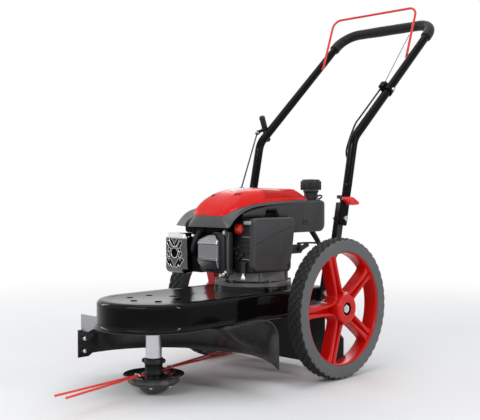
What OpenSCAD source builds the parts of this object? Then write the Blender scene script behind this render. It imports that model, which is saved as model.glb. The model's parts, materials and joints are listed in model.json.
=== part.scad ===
// Walk-behind string trimmer on two spoked wheels.
// +Z is up, -Y is ahead, +X is the operator's left. It stands on its tyres and on the dome of its head.

/* [Wheels] */
// Diameter of a wheel over its tyre
wheel_d = 356; // [344:2:376]
// Width of a tyre
tyre_w = 44; // [38:1:50]
// Height of the tyre's section
tyre_h = 29; // [25:1:34]
// Distance between the middle planes of the wheels
track = 433; // [428:1:450]
// Diameter of a hub
hub_d = 74; // [64:1:84]
// How far a hub stands out past the tyre
hub_proud = 7; // [4:1:10]
// Spokes in a wheel
spoke_count = 5; // [4:1:7]
// Width of a spoke
spoke_w = 28; // [24:1:32]
// Depth of a spoke along the axle
spoke_depth = 30; // [24:1:34]
// Diameter of the axle
axle_d = 16; // [14:1:18]

/* [Deck] */
// Width of the belt housing
deck_w = 264; // [250:2:270]
// Depth of the belt housing
deck_h = 63; // [60:1:68]
// Top of the housing above the axle
deck_rise = 45; // [42:1:48]
// Thickness of its pressed sheet
sheet_t = 2.5; // [2:0.5:3]
// Width of its turned-out lip
deck_lip = 7; // [5:1:9]
// Radius along its top edge
deck_fillet = 10; // [7:1:13]
// Thickness of the plate that closes it below
plate_t = 2; // [1.5:0.5:3]
// Spindle ahead of the axle
spindle_ahead = 427; // [415:1:440]
// Housing behind the axle
deck_behind = 64; // [60:1:70]
// Circle of the holes over the spindle
hole_circle = 118; // [108:1:126]
// Diameter of those holes
hole_d = 13; // [10:1:15]
// Number of those holes
hole_count = 6; // [4:1:8]

/* [Guard] */
// Radius of the guard round the spindle
guard_r = 238; // [230:1:242]
// Height of its lower edge over the ground
guard_low = 63; // [60:1:68]
// Height of its upright band
guard_band = 20; // [16:1:26]
// Thickness of its sheet
guard_t = 3; // [2:0.5:4]
// Length of its straight wing
wing_len = 172; // [160:1:176]
// Height of the flap behind the wheels' axle
flap_h = 86; // [70:1:92]

/* [Trimmer head] */
// Top of the clamp collar over the ground
collar_top = 82; // [76:1:88]
// Diameter of the dished plate
dish_d = 144; // [130:1:156]
// Diameter of the ring under it
ring_d = 122; // [110:1:128]
// Diameter of the ground dome
dome_d = 70; // [60:1:80]
// Height of the lines over the ground
line_h = 50; // [49:0.5:52]
// Diameter of a line
line_d = 4.5; // [3:0.5:5]
// Reach of a line from the spindle
line_reach = 302; // [270:1:310]
// Angle between the two ends of one line
line_spread = 6.6; // [4:0.2:9]
// Turn of the lines from straight ahead
line_turn = 10; // [0:1:20]
// Diameter of the spindle tube
spindle_d = 38; // [37:0.5:42]
// Diameter of the spindle shaft
shaft_d = 15; // [12:1:17]

/* [Drive] */
// Engine shaft ahead of the axle
engine_ahead = 85; // [80:1:90]
// Diameter of the engine shaft
crank_d = 22; // [18:1:25]
// Diameter of the pulley on the engine shaft
drive_pulley_d = 76; // [70:1:84]
// Diameter of the pulley on the spindle
driven_pulley_d = 106; // [96:1:116]
// Width of the belt
belt_w = 10; // [8:0.5:11]
// Middle of the belt over the housing's lip
belt_rise = 35; // [32:1:38]

/* [Engine] */
// Diameter of the crankcase flange
flange_d = 200; // [190:2:206]
// Width of the cylinder and its head
head_w = 84; // [76:1:88]
// Width of the valve cover
valve_w = 72; // [64:1:78]
// Height of the valve cover
valve_h = 69; // [62:1:76]
// Width of the silencer
muffler_w = 80; // [74:1:84]
// Height of the silencer
muffler_h = 104; // [96:1:108]
// Length of the air cleaner's cover
filter_l = 154; // [146:1:158]
// Height of the air cleaner's cover
filter_h = 132; // [124:1:136]
// Diameter of the primer bulb
primer_d = 28; // [24:1:30]
// Travel of the primer bulb
primer_travel = 6; // [4:1:8]
// Top of the cowl over the deck
cowl_h = 259; // [254:1:266]
// Diameter of the fuel cap
cap_d = 58; // [52:1:62]
// Height of the fuel cap
cap_h = 30; // [26:1:34]

/* [Handle] */
// Distance between the middles of the legs
leg_gap = 338; // [334:1:346]
// Diameter of the handle tube
tube_d = 24; // [22:1:26]
// Wall of the handle tube
tube_wall = 1.5; // [1:0.5:2.5]
// Fold pivot behind the axle
pivot_behind = 81; // [76:1:86]
// Fold pivot over the axle
pivot_rise = 224; // [218:1:232]
// Lean of the legs from upright
leg_lean = 12.3; // [9:0.1:15]
// Pivot to the bend of a leg
leg_len = 217; // [205:1:230]
// Pitch of the upper handle
upper_pitch = 41.6; // [38:0.1:45]
// Bend of a leg to the middle of the grip
upper_len = 549; // [520:1:580]
// Radius of the leg's bend
bend_r = 60; // [50:1:80]
// Radius of the grip's corners
corner_r = 60; // [45:1:75]
// Diameter of the foam
foam_d = 32; // [29:1:36]
// Bend of a leg to the bail's pivot
bail_at = 369; // [355:1:385]
// Length of the bail's arms
bail_len = 168; // [160:1:172]
// Diameter of the bail's wire
bail_d = 7; // [6:0.5:8]
// Lean of the released bail from upright
bail_lean = 20; // [14:1:24]
// Pivot bolt to knob bolt
knob_at = 47; // [44:1:52]
// Span of a wing knob
knob_span = 60; // [50:1:66]

/* [Hidden] */
$fn = 64;

// Gaps: a running fit on the radius, a seat within one body, and room between moving pieces
running = 0.08;
seat = 0.04;
room = 0.3;

// Heights
axle_z = wheel_d / 2;
deck_top = axle_z + deck_rise;
deck_bottom = deck_top - deck_h;
plate_low = deck_bottom - plate_t;
belt_z = deck_bottom + belt_rise;
pivot_z = axle_z + pivot_rise;

// Places along Y: the origin lies midway between the line's tip and the back of the grip
grip_behind = pivot_behind + leg_len * sin(leg_lean) + upper_len * cos(upper_pitch);
front_reach = spindle_ahead + line_reach * cos(line_turn - line_spread / 2);
axle_y = (front_reach - grip_behind - foam_d / 2) / 2;
spindle_y = axle_y - spindle_ahead;
engine_y = axle_y - engine_ahead;
pivot_y = axle_y + pivot_behind;
rear_y = axle_y + deck_behind;

// Wheel sizes
tyre_in = wheel_d / 2 - tyre_h;
wheel_x = track / 2;
hub_out = tyre_w / 2 + hub_proud;
hub_in = 24;
nut_recess = 14;
nut_r = 11;
nut_h = 10;
stud_d = 10;
spoke_face = 13;
bush_flange = 3;
bush_wall = 4;

// Guard sizes
tangent_at = 70;
guard_far = 180;
hood_from = 98;
hood_r = 46;
far_straight = 14;

// Handle sizes
leg_x = leg_gap / 2;
flat_t = 10;
flat_w = 30;
flat_low = -18;
flat_high = 68;
round_from = 88;
turn = 90 - leg_lean - upper_pitch;
bend_trim = bend_r * tan(turn / 2);
bolt_d = 8;
post_t = 16;
post_w = 22;
post_out = leg_x - flat_t / 2 - room;
post_top = 60;

// Rounded rectangle about its middle
module rounded_rect(w, h, r) {
    square([w - 2 * r, h], center = true);
    square([w, h - 2 * r], center = true);
    for (x = [-1, 1], y = [-1, 1])
        translate([x * (w / 2 - r), y * (h / 2 - r)]) circle(r);
}

// Rounded block between two corners, upright edges rounded
module rounded_block(low, high, r) {
    translate([(low[0] + high[0]) / 2, (low[1] + high[1]) / 2, low[2]])
        linear_extrude(high[2] - low[2])
            rounded_rect(high[0] - low[0], high[1] - low[1], r);
}

// Bolt head and its shank pointing along -Z below the head
module bolt(d, shank, head_h) {
    cylinder(d = 1.9 * d, h = head_h, $fn = 6);
    translate([0, 0, -shank]) cylinder(d = d, h = shank + 0.5);
}

// Places a child at the spindle, at the engine shaft on the deck, or at the wheel's axle
module at_spindle() { translate([0, spindle_y, 0]) children(); }
module at_engine() { translate([0, engine_y, deck_top]) children(); }
module at_axle() { translate([0, axle_y, axle_z]) children(); }

// Places a child at a leg's pivot with +Z up the leg; the right leg is the mirror of the left
module at_leg(side) {
    mirror([side > 0 ? 0 : 1, 0, 0])
        translate([leg_x, pivot_y, pivot_z]) rotate([-leg_lean, 0, 0]) children();
}

// Places a child where the leg's straight runs would meet, with +Z up the upper handle
module at_upper(side) {
    at_leg(side) translate([0, 0, leg_len]) rotate([-turn, 0, 0]) children();
}

// Swept tube through points, with rings square to the path
function unit(v) = v / norm(v);
function heading(p, i) = unit(p[min(i + 1, len(p) - 1)] - p[max(i - 1, 0)]);
function ring_at(p, i, d, sides, ref) =
    let (t = heading(p, i), n = unit(cross(t, ref)), b = cross(t, n))
    [for (k = [0 : sides - 1]) p[i] + d / 2 * (cos(360 * k / sides) * n + sin(360 * k / sides) * b)];
module swept_tube(p, d, sides, ref) {
    last = len(p) - 1;
    rings = [for (i = [0 : last]) each ring_at(p, i, d, sides, ref)];
    walls = [for (i = [0 : last - 1], k = [0 : sides - 1])
        let (a = i * sides + k, b = i * sides + (k + 1) % sides)
        each [[a, a + sides, b + sides], [a, b + sides, b]]];
    ends = [[for (k = [0 : sides - 1]) k], [for (k = [sides - 1 : -1 : 0]) last * sides + k]];
    polyhedron(points = rings, faces = concat(walls, ends), convexity = 6);
}

// Deck: half section of the housing as a solid, then as a shell with its lip
module deck_half(r, top, fillet) {
    translate([0, deck_bottom]) square([r, top - fillet - deck_bottom]);
    translate([0, deck_bottom]) square([r - fillet, top - deck_bottom]);
    translate([r - fillet, top - fillet]) circle(fillet);
}
module deck_shell_half() {
    difference() {
        deck_half(deck_w / 2, deck_top, deck_fillet);
        translate([0, -1]) deck_half(deck_w / 2 - sheet_t, deck_top - sheet_t + 1, deck_fillet - sheet_t);
    }
    translate([deck_w / 2 - sheet_t, deck_bottom]) square([deck_lip + sheet_t, sheet_t]);
}
module deck_outline(grow) {
    translate([0, spindle_y]) circle(deck_w / 2 + grow);
    translate([-deck_w / 2 - grow, spindle_y]) square([deck_w + 2 * grow, rear_y - spindle_y + min(grow, 0)]);
}
crank_hole = 2 * (drive_pulley_d / 2 + 6);
panel_inset = 26;
panel_depth = 1;
post_bolts = [-200, -222];
module deck_shell() {
    color("#151618")
    difference() {
        union() {
            at_spindle() rotate_extrude(angle = 180, start = 180) deck_shell_half();
            translate([0, rear_y, 0]) rotate([90, 0, 0]) linear_extrude(rear_y - spindle_y)
                for (s = [0, 1]) mirror([s, 0]) deck_shell_half();
            translate([0, rear_y, 0]) rotate([90, 0, 0]) linear_extrude(sheet_t)
                for (s = [0, 1]) mirror([s, 0]) deck_half(deck_w / 2, deck_top, deck_fillet);
        }
        translate([0, 0, deck_top - panel_depth]) linear_extrude(panel_depth + 1)
            deck_outline(-panel_inset);
        at_spindle() for (k = [0 : hole_count - 1])
            rotate(30 + 360 / hole_count * k) translate([hole_circle / 2, 0, deck_top - 10])
                cylinder(d = hole_d, h = 20);
        translate([0, engine_y, deck_top - 10]) cylinder(d = crank_hole, h = 20);
        at_axle() rotate([0, 90, 0])
            cylinder(r = axle_d / 2 + bush_wall + seat, h = deck_w + 20, center = true);
        for (side = [-1, 1], z = post_bolts) at_leg(side)
            translate([-leg_x + deck_w / 2 - 10, 0, z]) rotate([0, 90, 0]) cylinder(d = bolt_d + 2 * seat, h = 20);
    }
}
module belt_plate() {
    color("#1c1d1f")
    difference() {
        translate([0, 0, plate_low]) linear_extrude(plate_t) deck_outline(deck_lip);
        at_spindle() translate([0, 0, plate_low - 1]) cylinder(d = spindle_d + 2 * seat, h = plate_t + 2);
    }
}

// Guard: its low section, and the raised hood over the straight wing
flange_in = 118;
flange_out = 150;
guard_top = plate_low;
module guard_section() {
    polygon([
        [flange_in, guard_top], [flange_out + guard_t / 2, guard_top],
        [guard_r + guard_t, guard_low + guard_band + guard_t / 2], [guard_r + guard_t, guard_low],
        [guard_r, guard_low], [guard_r, guard_low + guard_band],
        [flange_out, guard_top - guard_t], [flange_in, guard_top - guard_t]
    ]);
}
hood_rise = 24;
hood_z = guard_top + hood_rise - hood_r;
module hood_shape(grow) {
    r = hood_r + grow;
    arc = [for (a = [0 : 10 : 110]) [guard_r + guard_t - hood_r + r * cos(a), hood_z + r * sin(a)]];
    polygon(concat([[guard_r + guard_t + grow, guard_low]], arc,
        [[flange_out, guard_top + grow], [flange_in, guard_top + grow], [flange_in, guard_low]]));
}
module hood_section() {
    difference() {
        hood_shape(0);
        translate([0, -1]) hood_shape(-guard_t);
        translate([flange_in - 1, guard_low - 2]) square([guard_r - guard_t - flange_in, guard_top - guard_t - guard_low + 2]);
        translate([flange_in - 1, guard_low - 2]) square([flange_out - flange_in - 6, 200]);
    }
}
module hood_cheek() {
    difference() {
        hood_shape(0);
        polygon([
            [flange_in - 1, guard_low - 2], [guard_r, guard_low - 2], [guard_r, guard_low + guard_band],
            [flange_out, guard_top - guard_t], [flange_in - 1, guard_top - guard_t]
        ]);
        translate([flange_in - 1, guard_low - 2]) square([flange_out - flange_in - 6, 200]);
    }
}
module guard() {
    color("#1a1b1d")
    at_spindle() rotate(tangent_at) {
        rotate_extrude(angle = guard_far - tangent_at) guard_section();
        rotate([90, 0, 0]) linear_extrude(hood_from) guard_section();
        translate([0, guard_t - hood_from, 0]) rotate([90, 0, 0]) linear_extrude(guard_t) hood_cheek();
        translate([0, -hood_from, 0]) rotate([90, 0, 0]) linear_extrude(wing_len - hood_from) hood_section();
    }
}

// Bracket and stay at the guard's far end
bracket_len = 46;
bracket_low = 57;
bracket_high = 126;
bracket_gap = 0.25;
module guard_bracket() {
    color("#202124")
    at_spindle() translate([-guard_r + guard_t + bracket_gap, 0, 0]) rotate([90, 0, -90]) linear_extrude(guard_t)
        polygon([[-9, bracket_low + 14], [14, bracket_low], [bracket_len, bracket_low],
            [bracket_len, bracket_high], [far_straight, bracket_high],
            [2, guard_low + guard_band - 1], [-9, guard_low + guard_band - 1]]);
}
stay_low = 124;
stay_high = 166;
stay_ahead = 36;
stay_t = 2;
stay_to = 104;
module guard_stay() {
    edge = deck_w / 2 + deck_lip + 1;
    stay_from = -guard_r + guard_t + bracket_gap;
    color("#b9bcc0")
    at_spindle() translate([0, -stay_ahead, 0]) {
        rotate([90, 0, 0]) linear_extrude(stay_t) polygon([
            [stay_from, stay_low], [-edge, stay_low], [-stay_to, plate_low - 12], [-stay_to, plate_low],
            [-edge, plate_low], [-edge, stay_high], [stay_from, stay_high]
        ]);
        translate([-edge, -stay_t - 18, plate_low - stay_t]) cube([edge - stay_to, 18 + stay_t, stay_t]);
    }
}

// Flap behind the axle, hung from the plate by two straps
flap_half = 188;
flap_low = 14;
flap_t = 4;
strap_w = 44;
strap_x = 64;
module rear_flap() {
    color("#1b1c1e")
    translate([0, rear_y - 4, 0]) rotate([90, 0, 0]) linear_extrude(flap_t) {
        polygon([
            [-flap_half + 26, flap_low], [flap_half - 26, flap_low], [flap_half, flap_low + 26],
            [flap_half, flap_low + flap_h - 10], [flap_half - 10, flap_low + flap_h],
            [-flap_half + 10, flap_low + flap_h], [-flap_half, flap_low + flap_h - 10], [-flap_half, flap_low + 26]
        ]);
        for (x = [-strap_x, strap_x])
            translate([x - strap_w / 2, flap_low + flap_h - 1]) square([strap_w, plate_low - flap_low - flap_h + 1]);
    }
}

// Bolts of the frame: handle posts on the deck, fold pivots, guard bracket
module frame_bolts() {
    color("#c9ccd0") {
        for (side = [-1, 1]) at_leg(side) {
            for (z = post_bolts)
                translate([-leg_x + deck_w / 2 + 8 + room / 10, 0, z]) rotate([0, 90, 0]) bolt(bolt_d, 14, 5);
            translate([flat_t / 2 + room, 0, 0]) rotate([0, 90, 0]) bolt(bolt_d, flat_t + post_t + 10, 6);
        }
        at_spindle() for (z = [bracket_low + 16, bracket_high - 22])
            translate([-guard_r + guard_t + bracket_gap, -30, z]) rotate([0, 90, 0]) cylinder(d = 13, h = 5, $fn = 6);
    }
}

// Trimmer head and spindle
bearing_d = 32;
bearing_h = 9;
housing_low = collar_top + 2;
housing_high = deck_bottom + 22;
housing_flange = 5;
module spindle_housing() {
    color("#c4c7cb")
    at_spindle() rotate_extrude() difference() {
        union() {
            translate([bearing_d / 2 + seat, housing_low])
                square([(spindle_d - bearing_d) / 2 - seat, housing_high - housing_low]);
            translate([bearing_d / 2 + seat, deck_bottom]) square([34, housing_flange]);
        }
    }
}
module spindle_bearings() {
    color("#9a9da1")
    at_spindle() for (z = [housing_low, housing_high - bearing_h]) translate([0, 0, z]) difference() {
        cylinder(d = bearing_d, h = bearing_h);
        translate([0, 0, -1]) cylinder(r = shaft_d / 2 + running, h = bearing_h + 2);
    }
}
shaft_low = 30;
pulley_h = belt_w + 8;
groove = 9;
module spindle_shaft() {
    color("#a7aaae")
    at_spindle() translate([0, 0, shaft_low]) cylinder(d = shaft_d, h = belt_z + pulley_h / 2 + 3 - shaft_low);
}
// Pulley with a grooved rim about its shaft, at the height of the belt
module pulley(d, bore) {
    translate([0, 0, belt_z]) rotate_extrude() difference() {
        translate([bore / 2 + seat, -pulley_h / 2]) square([d / 2 - bore / 2 - seat, pulley_h]);
        translate([d / 2 - groove, -belt_w / 2 - room]) square([groove + 1, belt_w + 2 * room]);
        for (z = [-pulley_h / 2, pulley_h / 2])
            translate([(d / 2 - groove + bore / 2) / 2 + 3, z]) square([d / 2 - groove - bore / 2 - 14, 8], center = true);
    }
}
module driven_pulley() { color("#6d7074") at_spindle() pulley(driven_pulley_d, shaft_d); }

collar_d = 42;
collar_low = 46;
dish_t = 6;
module head_collar() {
    color("#17181a")
    at_spindle() difference() {
        union() {
            translate([0, 0, collar_low]) cylinder(d = collar_d, h = collar_top - collar_low);
            translate([0, 0, collar_top - 12]) cylinder(d = collar_d + 4, h = 12);
        }
        translate([0, 0, collar_low - 1]) cylinder(r = shaft_d / 2 + seat, h = collar_top);
        for (a = [0, 180]) rotate(a + line_turn) translate([0, line_from - line_d / 2, line_h]) rotate([-90, 0, 0])
            cylinder(d = line_d + 1, h = 24);
    }
}
module head_hardware() {
    color("#8b8e92")
    at_spindle() {
        for (a = [35, 215]) rotate(a) translate([collar_d / 2 + 2, 0, collar_top - 6]) rotate([0, 90, 0])
            cylinder(d = 11, h = 6, $fn = 6);
        for (k = [0 : 5]) rotate(60 * k + 12) translate([ring_d / 2 - 13, 0, ring_low - 4])
            cylinder(d = 9, h = 4, $fn = 6);
        for (a = [0, 180]) rotate(a + line_turn) translate([0, clip_at, collar_low - 0.7 + clip_h / 2])
            rotate([90, 0, 0]) linear_extrude(clip_wire) difference() {
                rounded_rect(clip_w, clip_h, clip_h / 2 - 0.1);
                rounded_rect(clip_w - 2 * clip_wire, clip_h - 2 * clip_wire, clip_h / 2 - 0.1 - clip_wire);
            }
    }
}
module dish_plate() {
    color("#121315")
    at_spindle() difference() {
        rotate_extrude() polygon([
            [shaft_d / 2 + seat, collar_low - dish_t], [dish_d / 2 - 8, collar_low - dish_t],
            [dish_d / 2, collar_low - 4], [dish_d / 2, collar_low - 2],
            [dish_d / 2 - 4, collar_low - 1], [collar_d / 2 + 8, collar_low], [shaft_d / 2 + seat, collar_low]
        ]);
    }
}
ring_low = 22;
module line_ring() {
    color("#4b4e52")
    at_spindle() rotate_extrude() polygon([
        [shaft_d / 2 + seat, ring_low], [ring_d / 2 - 8, ring_low], [ring_d / 2, ring_low + 6],
        [ring_d / 2 - 3, collar_low - dish_t], [shaft_d / 2 + seat, collar_low - dish_t]
    ]);
}
dome_h = 22;
dome_r = (dome_d * dome_d / 4 + dome_h * dome_h) / (2 * dome_h);
module ground_dome() {
    color("#5a5d61")
    at_spindle() intersection() {
        translate([0, 0, dome_r]) sphere(dome_r);
        cylinder(d = dome_d, h = ring_low);
    }
}
clip_w = 17;
clip_h = 10.2;
clip_wire = 2.3;
clip_at = 60;
line_from = 14;
module cutting_lines() {
    color("#d8231f")
    at_spindle() for (a = [0, 180]) rotate(a + line_turn) translate([0, line_from, line_h]) {
        for (s = [-1, 1]) rotate(s * line_spread / 2) rotate([-90, 0, 0])
            cylinder(d = line_d, h = line_reach - line_from, $fn = 24);
        sphere(d = line_d, $fn = 24);
    }
}

// Drive: engine shaft, its pulley and the belt
module crankshaft() {
    color("#a7aaae")
    translate([0, engine_y, belt_z - pulley_h / 2 - 3]) cylinder(d = crank_d, h = deck_top + 34 - belt_z + pulley_h / 2 + 3);
}
module drive_pulley() { color("#6d7074") translate([0, engine_y, 0]) pulley(drive_pulley_d, crank_d); }
// Outline of a loop round the two pulleys, whose sides are their common tangents
module loop(big, small) {
    apart = spindle_ahead - engine_ahead;
    tilt = asin((big - small) / apart);
    circle(big);
    translate([0, apart]) circle(small);
    polygon([
        for (p = [[1, big, 0], [1, small, apart], [-1, small, apart], [-1, big, 0]])
            [p[0] * p[1] * cos(tilt), p[2] + p[1] * sin(tilt)]
    ]);
}
module drive_belt() {
    inner = room - groove;
    outer = -0.7;
    color("#1f1f20")
    at_spindle() translate([0, 0, belt_z - belt_w / 2]) linear_extrude(belt_w) difference() {
        loop(driven_pulley_d / 2 + outer, drive_pulley_d / 2 + outer);
        loop(driven_pulley_d / 2 + inner, drive_pulley_d / 2 + inner);
    }
}

// Wheels: pieces drawn with +Z along the axle, outwards
module on_wheel(side) {
    mirror([side > 0 ? 0 : 1, 0, 0]) at_axle() translate([wheel_x, 0, 0]) rotate([0, 90, 0]) children();
}
drum_t = 5;
drum_half = tyre_w / 2 - 1.5;
module spoke_section() {
    difference() {
        translate([-spoke_w / 2, spoke_face - spoke_depth]) square([spoke_w, spoke_depth]);
        translate([-spoke_w * 0.17, spoke_face - 10]) square([spoke_w * 0.34, 11]);
        translate([-spoke_w * 0.34, spoke_face - spoke_depth - 1]) square([spoke_w * 0.68, spoke_depth - 14]);
    }
}
module wheel_rim(side) {
    color("#c4211c")
    on_wheel(side) difference() {
        union() {
            rotate_extrude() translate([tyre_in - seat - drum_t, -drum_half]) square([drum_t, 2 * drum_half]);
            for (k = [0 : spoke_count - 1]) rotate(270 + 360 / spoke_count * k)
                translate([hub_d / 4, 0, 0]) rotate([90, 0, 90]) linear_extrude(tyre_in - 2 - hub_d / 4) spoke_section();
            translate([0, 0, -hub_in]) cylinder(d = hub_d, h = hub_in + hub_out);
        }
        translate([0, 0, hub_out - nut_recess]) cylinder(r = 14, h = nut_recess + 1);
        translate([0, 0, -hub_in - 1]) cylinder(r = axle_d / 2 + running, h = hub_in + hub_out + 2);
    }
}
module wheel_rim_left() { wheel_rim(1); }
module wheel_rim_right() { wheel_rim(-1); }
shoulder = 6;
module tyre(side) {
    color("#55585b")
    on_wheel(side) rotate_extrude() {
        translate([tyre_in, -tyre_w / 2]) square([tyre_h - shoulder, tyre_w]);
        translate([tyre_in, -tyre_w / 2 + shoulder]) square([tyre_h, tyre_w - 2 * shoulder]);
        for (z = [-1, 1]) translate([tyre_in + tyre_h - shoulder, z * (tyre_w / 2 - shoulder)]) circle(shoulder);
    }
}
module tyre_left() { tyre(1); }
module tyre_right() { tyre(-1); }

// Axle, its bushes in the deck's walls, spacers and nuts
recess_floor = wheel_x + hub_out - nut_recess;
axle_end = wheel_x + hub_out - 2;
module axle() {
    color("#9a9da1")
    at_axle() rotate([0, 90, 0]) {
        cylinder(d = axle_d, h = 2 * recess_floor, center = true);
        cylinder(d = stud_d, h = 2 * axle_end, center = true);
    }
}
module axle_bushes() {
    color("#3a3c3f")
    for (side = [0, 1]) mirror([side, 0, 0]) at_axle() rotate([0, 90, 0]) difference() {
        union() {
            translate([0, 0, deck_w / 2 - 10]) cylinder(r = axle_d / 2 + bush_wall, h = 10);
            translate([0, 0, deck_w / 2]) cylinder(r = axle_d / 2 + bush_wall + 2, h = bush_flange);
        }
        translate([0, 0, deck_w / 2 - 11]) cylinder(r = axle_d / 2 + seat, h = 20);
    }
}
module axle_spacers() {
    from = deck_w / 2 + bush_flange;
    color("#6d7074")
    for (side = [0, 1]) mirror([side, 0, 0]) at_axle() rotate([0, 90, 0]) difference() {
        translate([0, 0, from]) cylinder(r = axle_d / 2 + 3, h = wheel_x - hub_in - room - from);
        translate([0, 0, from - 1]) cylinder(r = axle_d / 2 + seat, h = wheel_x);
    }
}
module axle_nuts() {
    color("#d4d6d9")
    for (side = [0, 1]) mirror([side, 0, 0]) at_axle() rotate([0, 90, 0]) difference() {
        translate([0, 0, recess_floor + room]) cylinder(r = nut_r, h = nut_h, $fn = 6);
        translate([0, 0, recess_floor - 1]) cylinder(r = stud_d / 2 + seat, h = 30);
    }
}

// Engine: heights count from the deck's top, lengths from the engine shaft
ep_h = 7;
case_top = 137;
module engine_plate() {
    color("#141517")
    at_engine() difference() {
        translate([0, 0, -panel_depth]) cylinder(d = flange_d + 4, h = ep_h + panel_depth);
        translate([0, 0, -panel_depth - 1]) cylinder(d = crank_hole - 20, h = ep_h + 4);
    }
}
case_r = flange_d / 2 - 22;
drum_r = 39.5;
module crankcase() {
    color("#7d8084")
    at_engine() {
        rotate_extrude() difference() {
            translate([0, ep_h]) union() {
                square([flange_d / 2, 12]);
                square([flange_d / 2 - 10, 30]);
                square([case_r, case_top - ep_h]);
                square([drum_r, tank_mid - ep_h]);
            }
            translate([-1, 0]) square([crank_d / 2 + running + 1, 35]);
        }
        translate([brake_x - room - 12, 40, brake_z - 12]) cube([12, brake_y - 40 + 10, 24]);
        translate([brake_x - room - 1, brake_y, brake_z]) rotate([0, 90, 0]) cylinder(d = 6, h = 8);
    }
}
block_from = 70;
block_to = 128;
head_to = 150;
valve_to = 167;
bore_z = 97;
fin_count = 6;
module cylinder_block() {
    color("#3a3c3f")
    at_engine() difference() {
        union() {
            translate([0, -block_from, bore_z]) rotate([90, 0, 0]) cylinder(d = head_w - 18, h = block_to - block_from);
            for (k = [0 : fin_count - 1])
                translate([-head_w / 2, -block_to + k * 7, bore_z - head_w / 2]) cube([head_w, 3, head_w]);
        }
        translate([0, 0, ep_h]) cylinder(r = case_r + seat, h = case_top);
    }
}
module cylinder_head() {
    color("#2c2e30")
    at_engine() translate([0, -block_to, bore_z]) rotate([90, 0, 0]) linear_extrude(head_to - block_to)
        rounded_rect(head_w, head_w + 3, 8);
}
valve_z = 95;
module valve_cover() {
    color("#b3b6ba")
    at_engine() translate([0, -head_to, valve_z]) rotate([90, 0, 0]) {
        hull() {
            linear_extrude(8) rounded_rect(valve_w, valve_h, 10, $fn = 32);
            linear_extrude(valve_to - head_to) rounded_rect(valve_w - 10, valve_h - 10, 8, $fn = 32);
        }
    }
}
module plug_boot() {
    color("#101113")
    at_engine() translate([-head_w / 2 + 14, -head_to + 11, bore_z + head_w / 2 + 1.5]) {
        cylinder(d = 17, h = 12);
        cylinder(d = 12, h = 19);
    }
}
muffler_x = -72;
muffler_z = 92;
muffler_front = 163;
muffler_back = 105;
module muffler_body() {
    color("#1a1b1c")
    at_engine() translate([muffler_x - muffler_w / 2, -muffler_back, muffler_z]) rotate([90, 0, 0])
        linear_extrude(muffler_front - muffler_back) rounded_rect(muffler_w - 4.2, muffler_h - 4.2, 14);
    color("#1a1b1c")
    at_engine() translate([muffler_x - 4, -block_to - 5, bore_z]) rotate([0, 90, 0])
        cylinder(d = 22, h = -muffler_x + 4 - head_w / 2);
}
mg_t = 2;
module muffler_guard() {
    color("#8f9296")
    at_engine() translate([muffler_x - muffler_w / 2, -muffler_front + 18, muffler_z]) rotate([90, 0, 0]) difference() {
        linear_extrude(18 + 14) rounded_rect(muffler_w, muffler_h, 16);
        translate([0, 0, -1]) linear_extrude(18 + 14 - mg_t + 1) rounded_rect(muffler_w - 2 * mg_t, muffler_h - 2 * mg_t, 14);
        cylinder(d = 20, h = 60);
        for (x = [-1, 1], y = [-1, 1]) {
            for (k = [0 : 2]) translate([x * (12 + 9 * k), y * (40 - 9 * k), 0]) rotate(x * y * 45)
                linear_extrude(60) rounded_rect(6, 15, 2.9);
            translate([x * 26, y * 9, 0]) cylinder(d = 9, h = 60);
        }
    }
}

// Intake on the left: carburettor box with the primer, and the air cleaner's cover
intake_in = head_w / 2;
intake_out = 100;
intake_front = 120;
intake_mid = 50;
intake_back = -27;
intake_low = 52;
intake_top = 172;
primer_x = 66;
primer_z = 157;
primer_r = primer_d / 2;
module intake_box() {
    color("#18191b")
    at_engine() difference() {
        union() {
            rounded_block([intake_in, -intake_front, intake_low], [intake_out, -intake_mid, intake_top], 5);
            rounded_block([intake_out - 20, -intake_mid - 10, intake_low + 3], [intake_out, -intake_back, intake_top - 4], 5);
        }
        translate([0, 0, ep_h]) cylinder(r = case_r + 1, h = case_top);
        translate([primer_x, -intake_front - 1, primer_z]) rotate([-90, 0, 0])
            cylinder(r = primer_r + room, h = primer_travel + primer_r / 2 + 4);
        for (k = [0 : 5]) translate([intake_out - 26, -intake_front - 1, intake_low + 20 + 12 * k]) cube([20, 3, 3]);
    }
}
module primer_bulb() {
    color("#d6201d")
    at_engine() translate([primer_x, -intake_front, primer_z]) rotate([90, 0, 0]) {
        intersection() {
            sphere(primer_r);
            translate([0, 0, -primer_r / 2]) cylinder(r = primer_r, h = 2 * primer_r);
        }
    }
}
filter_t = 20;
filter_mid = 45;
filter_z = 118;
module filter_cover() {
    color("#4a4d50")
    at_engine() translate([intake_out, -filter_mid, filter_z]) rotate([90, 0, 90]) difference() {
        hull() {
            linear_extrude(filter_t - 8) rounded_rect(filter_l, filter_h, 16, $fn = 32);
            linear_extrude(filter_t) rounded_rect(filter_l - 12, filter_h - 12, 14, $fn = 32);
        }
        translate([0, 0, -1]) linear_extrude(filter_t - 4) rounded_rect(filter_l - 8, filter_h - 8, 12);
    }
}

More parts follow.
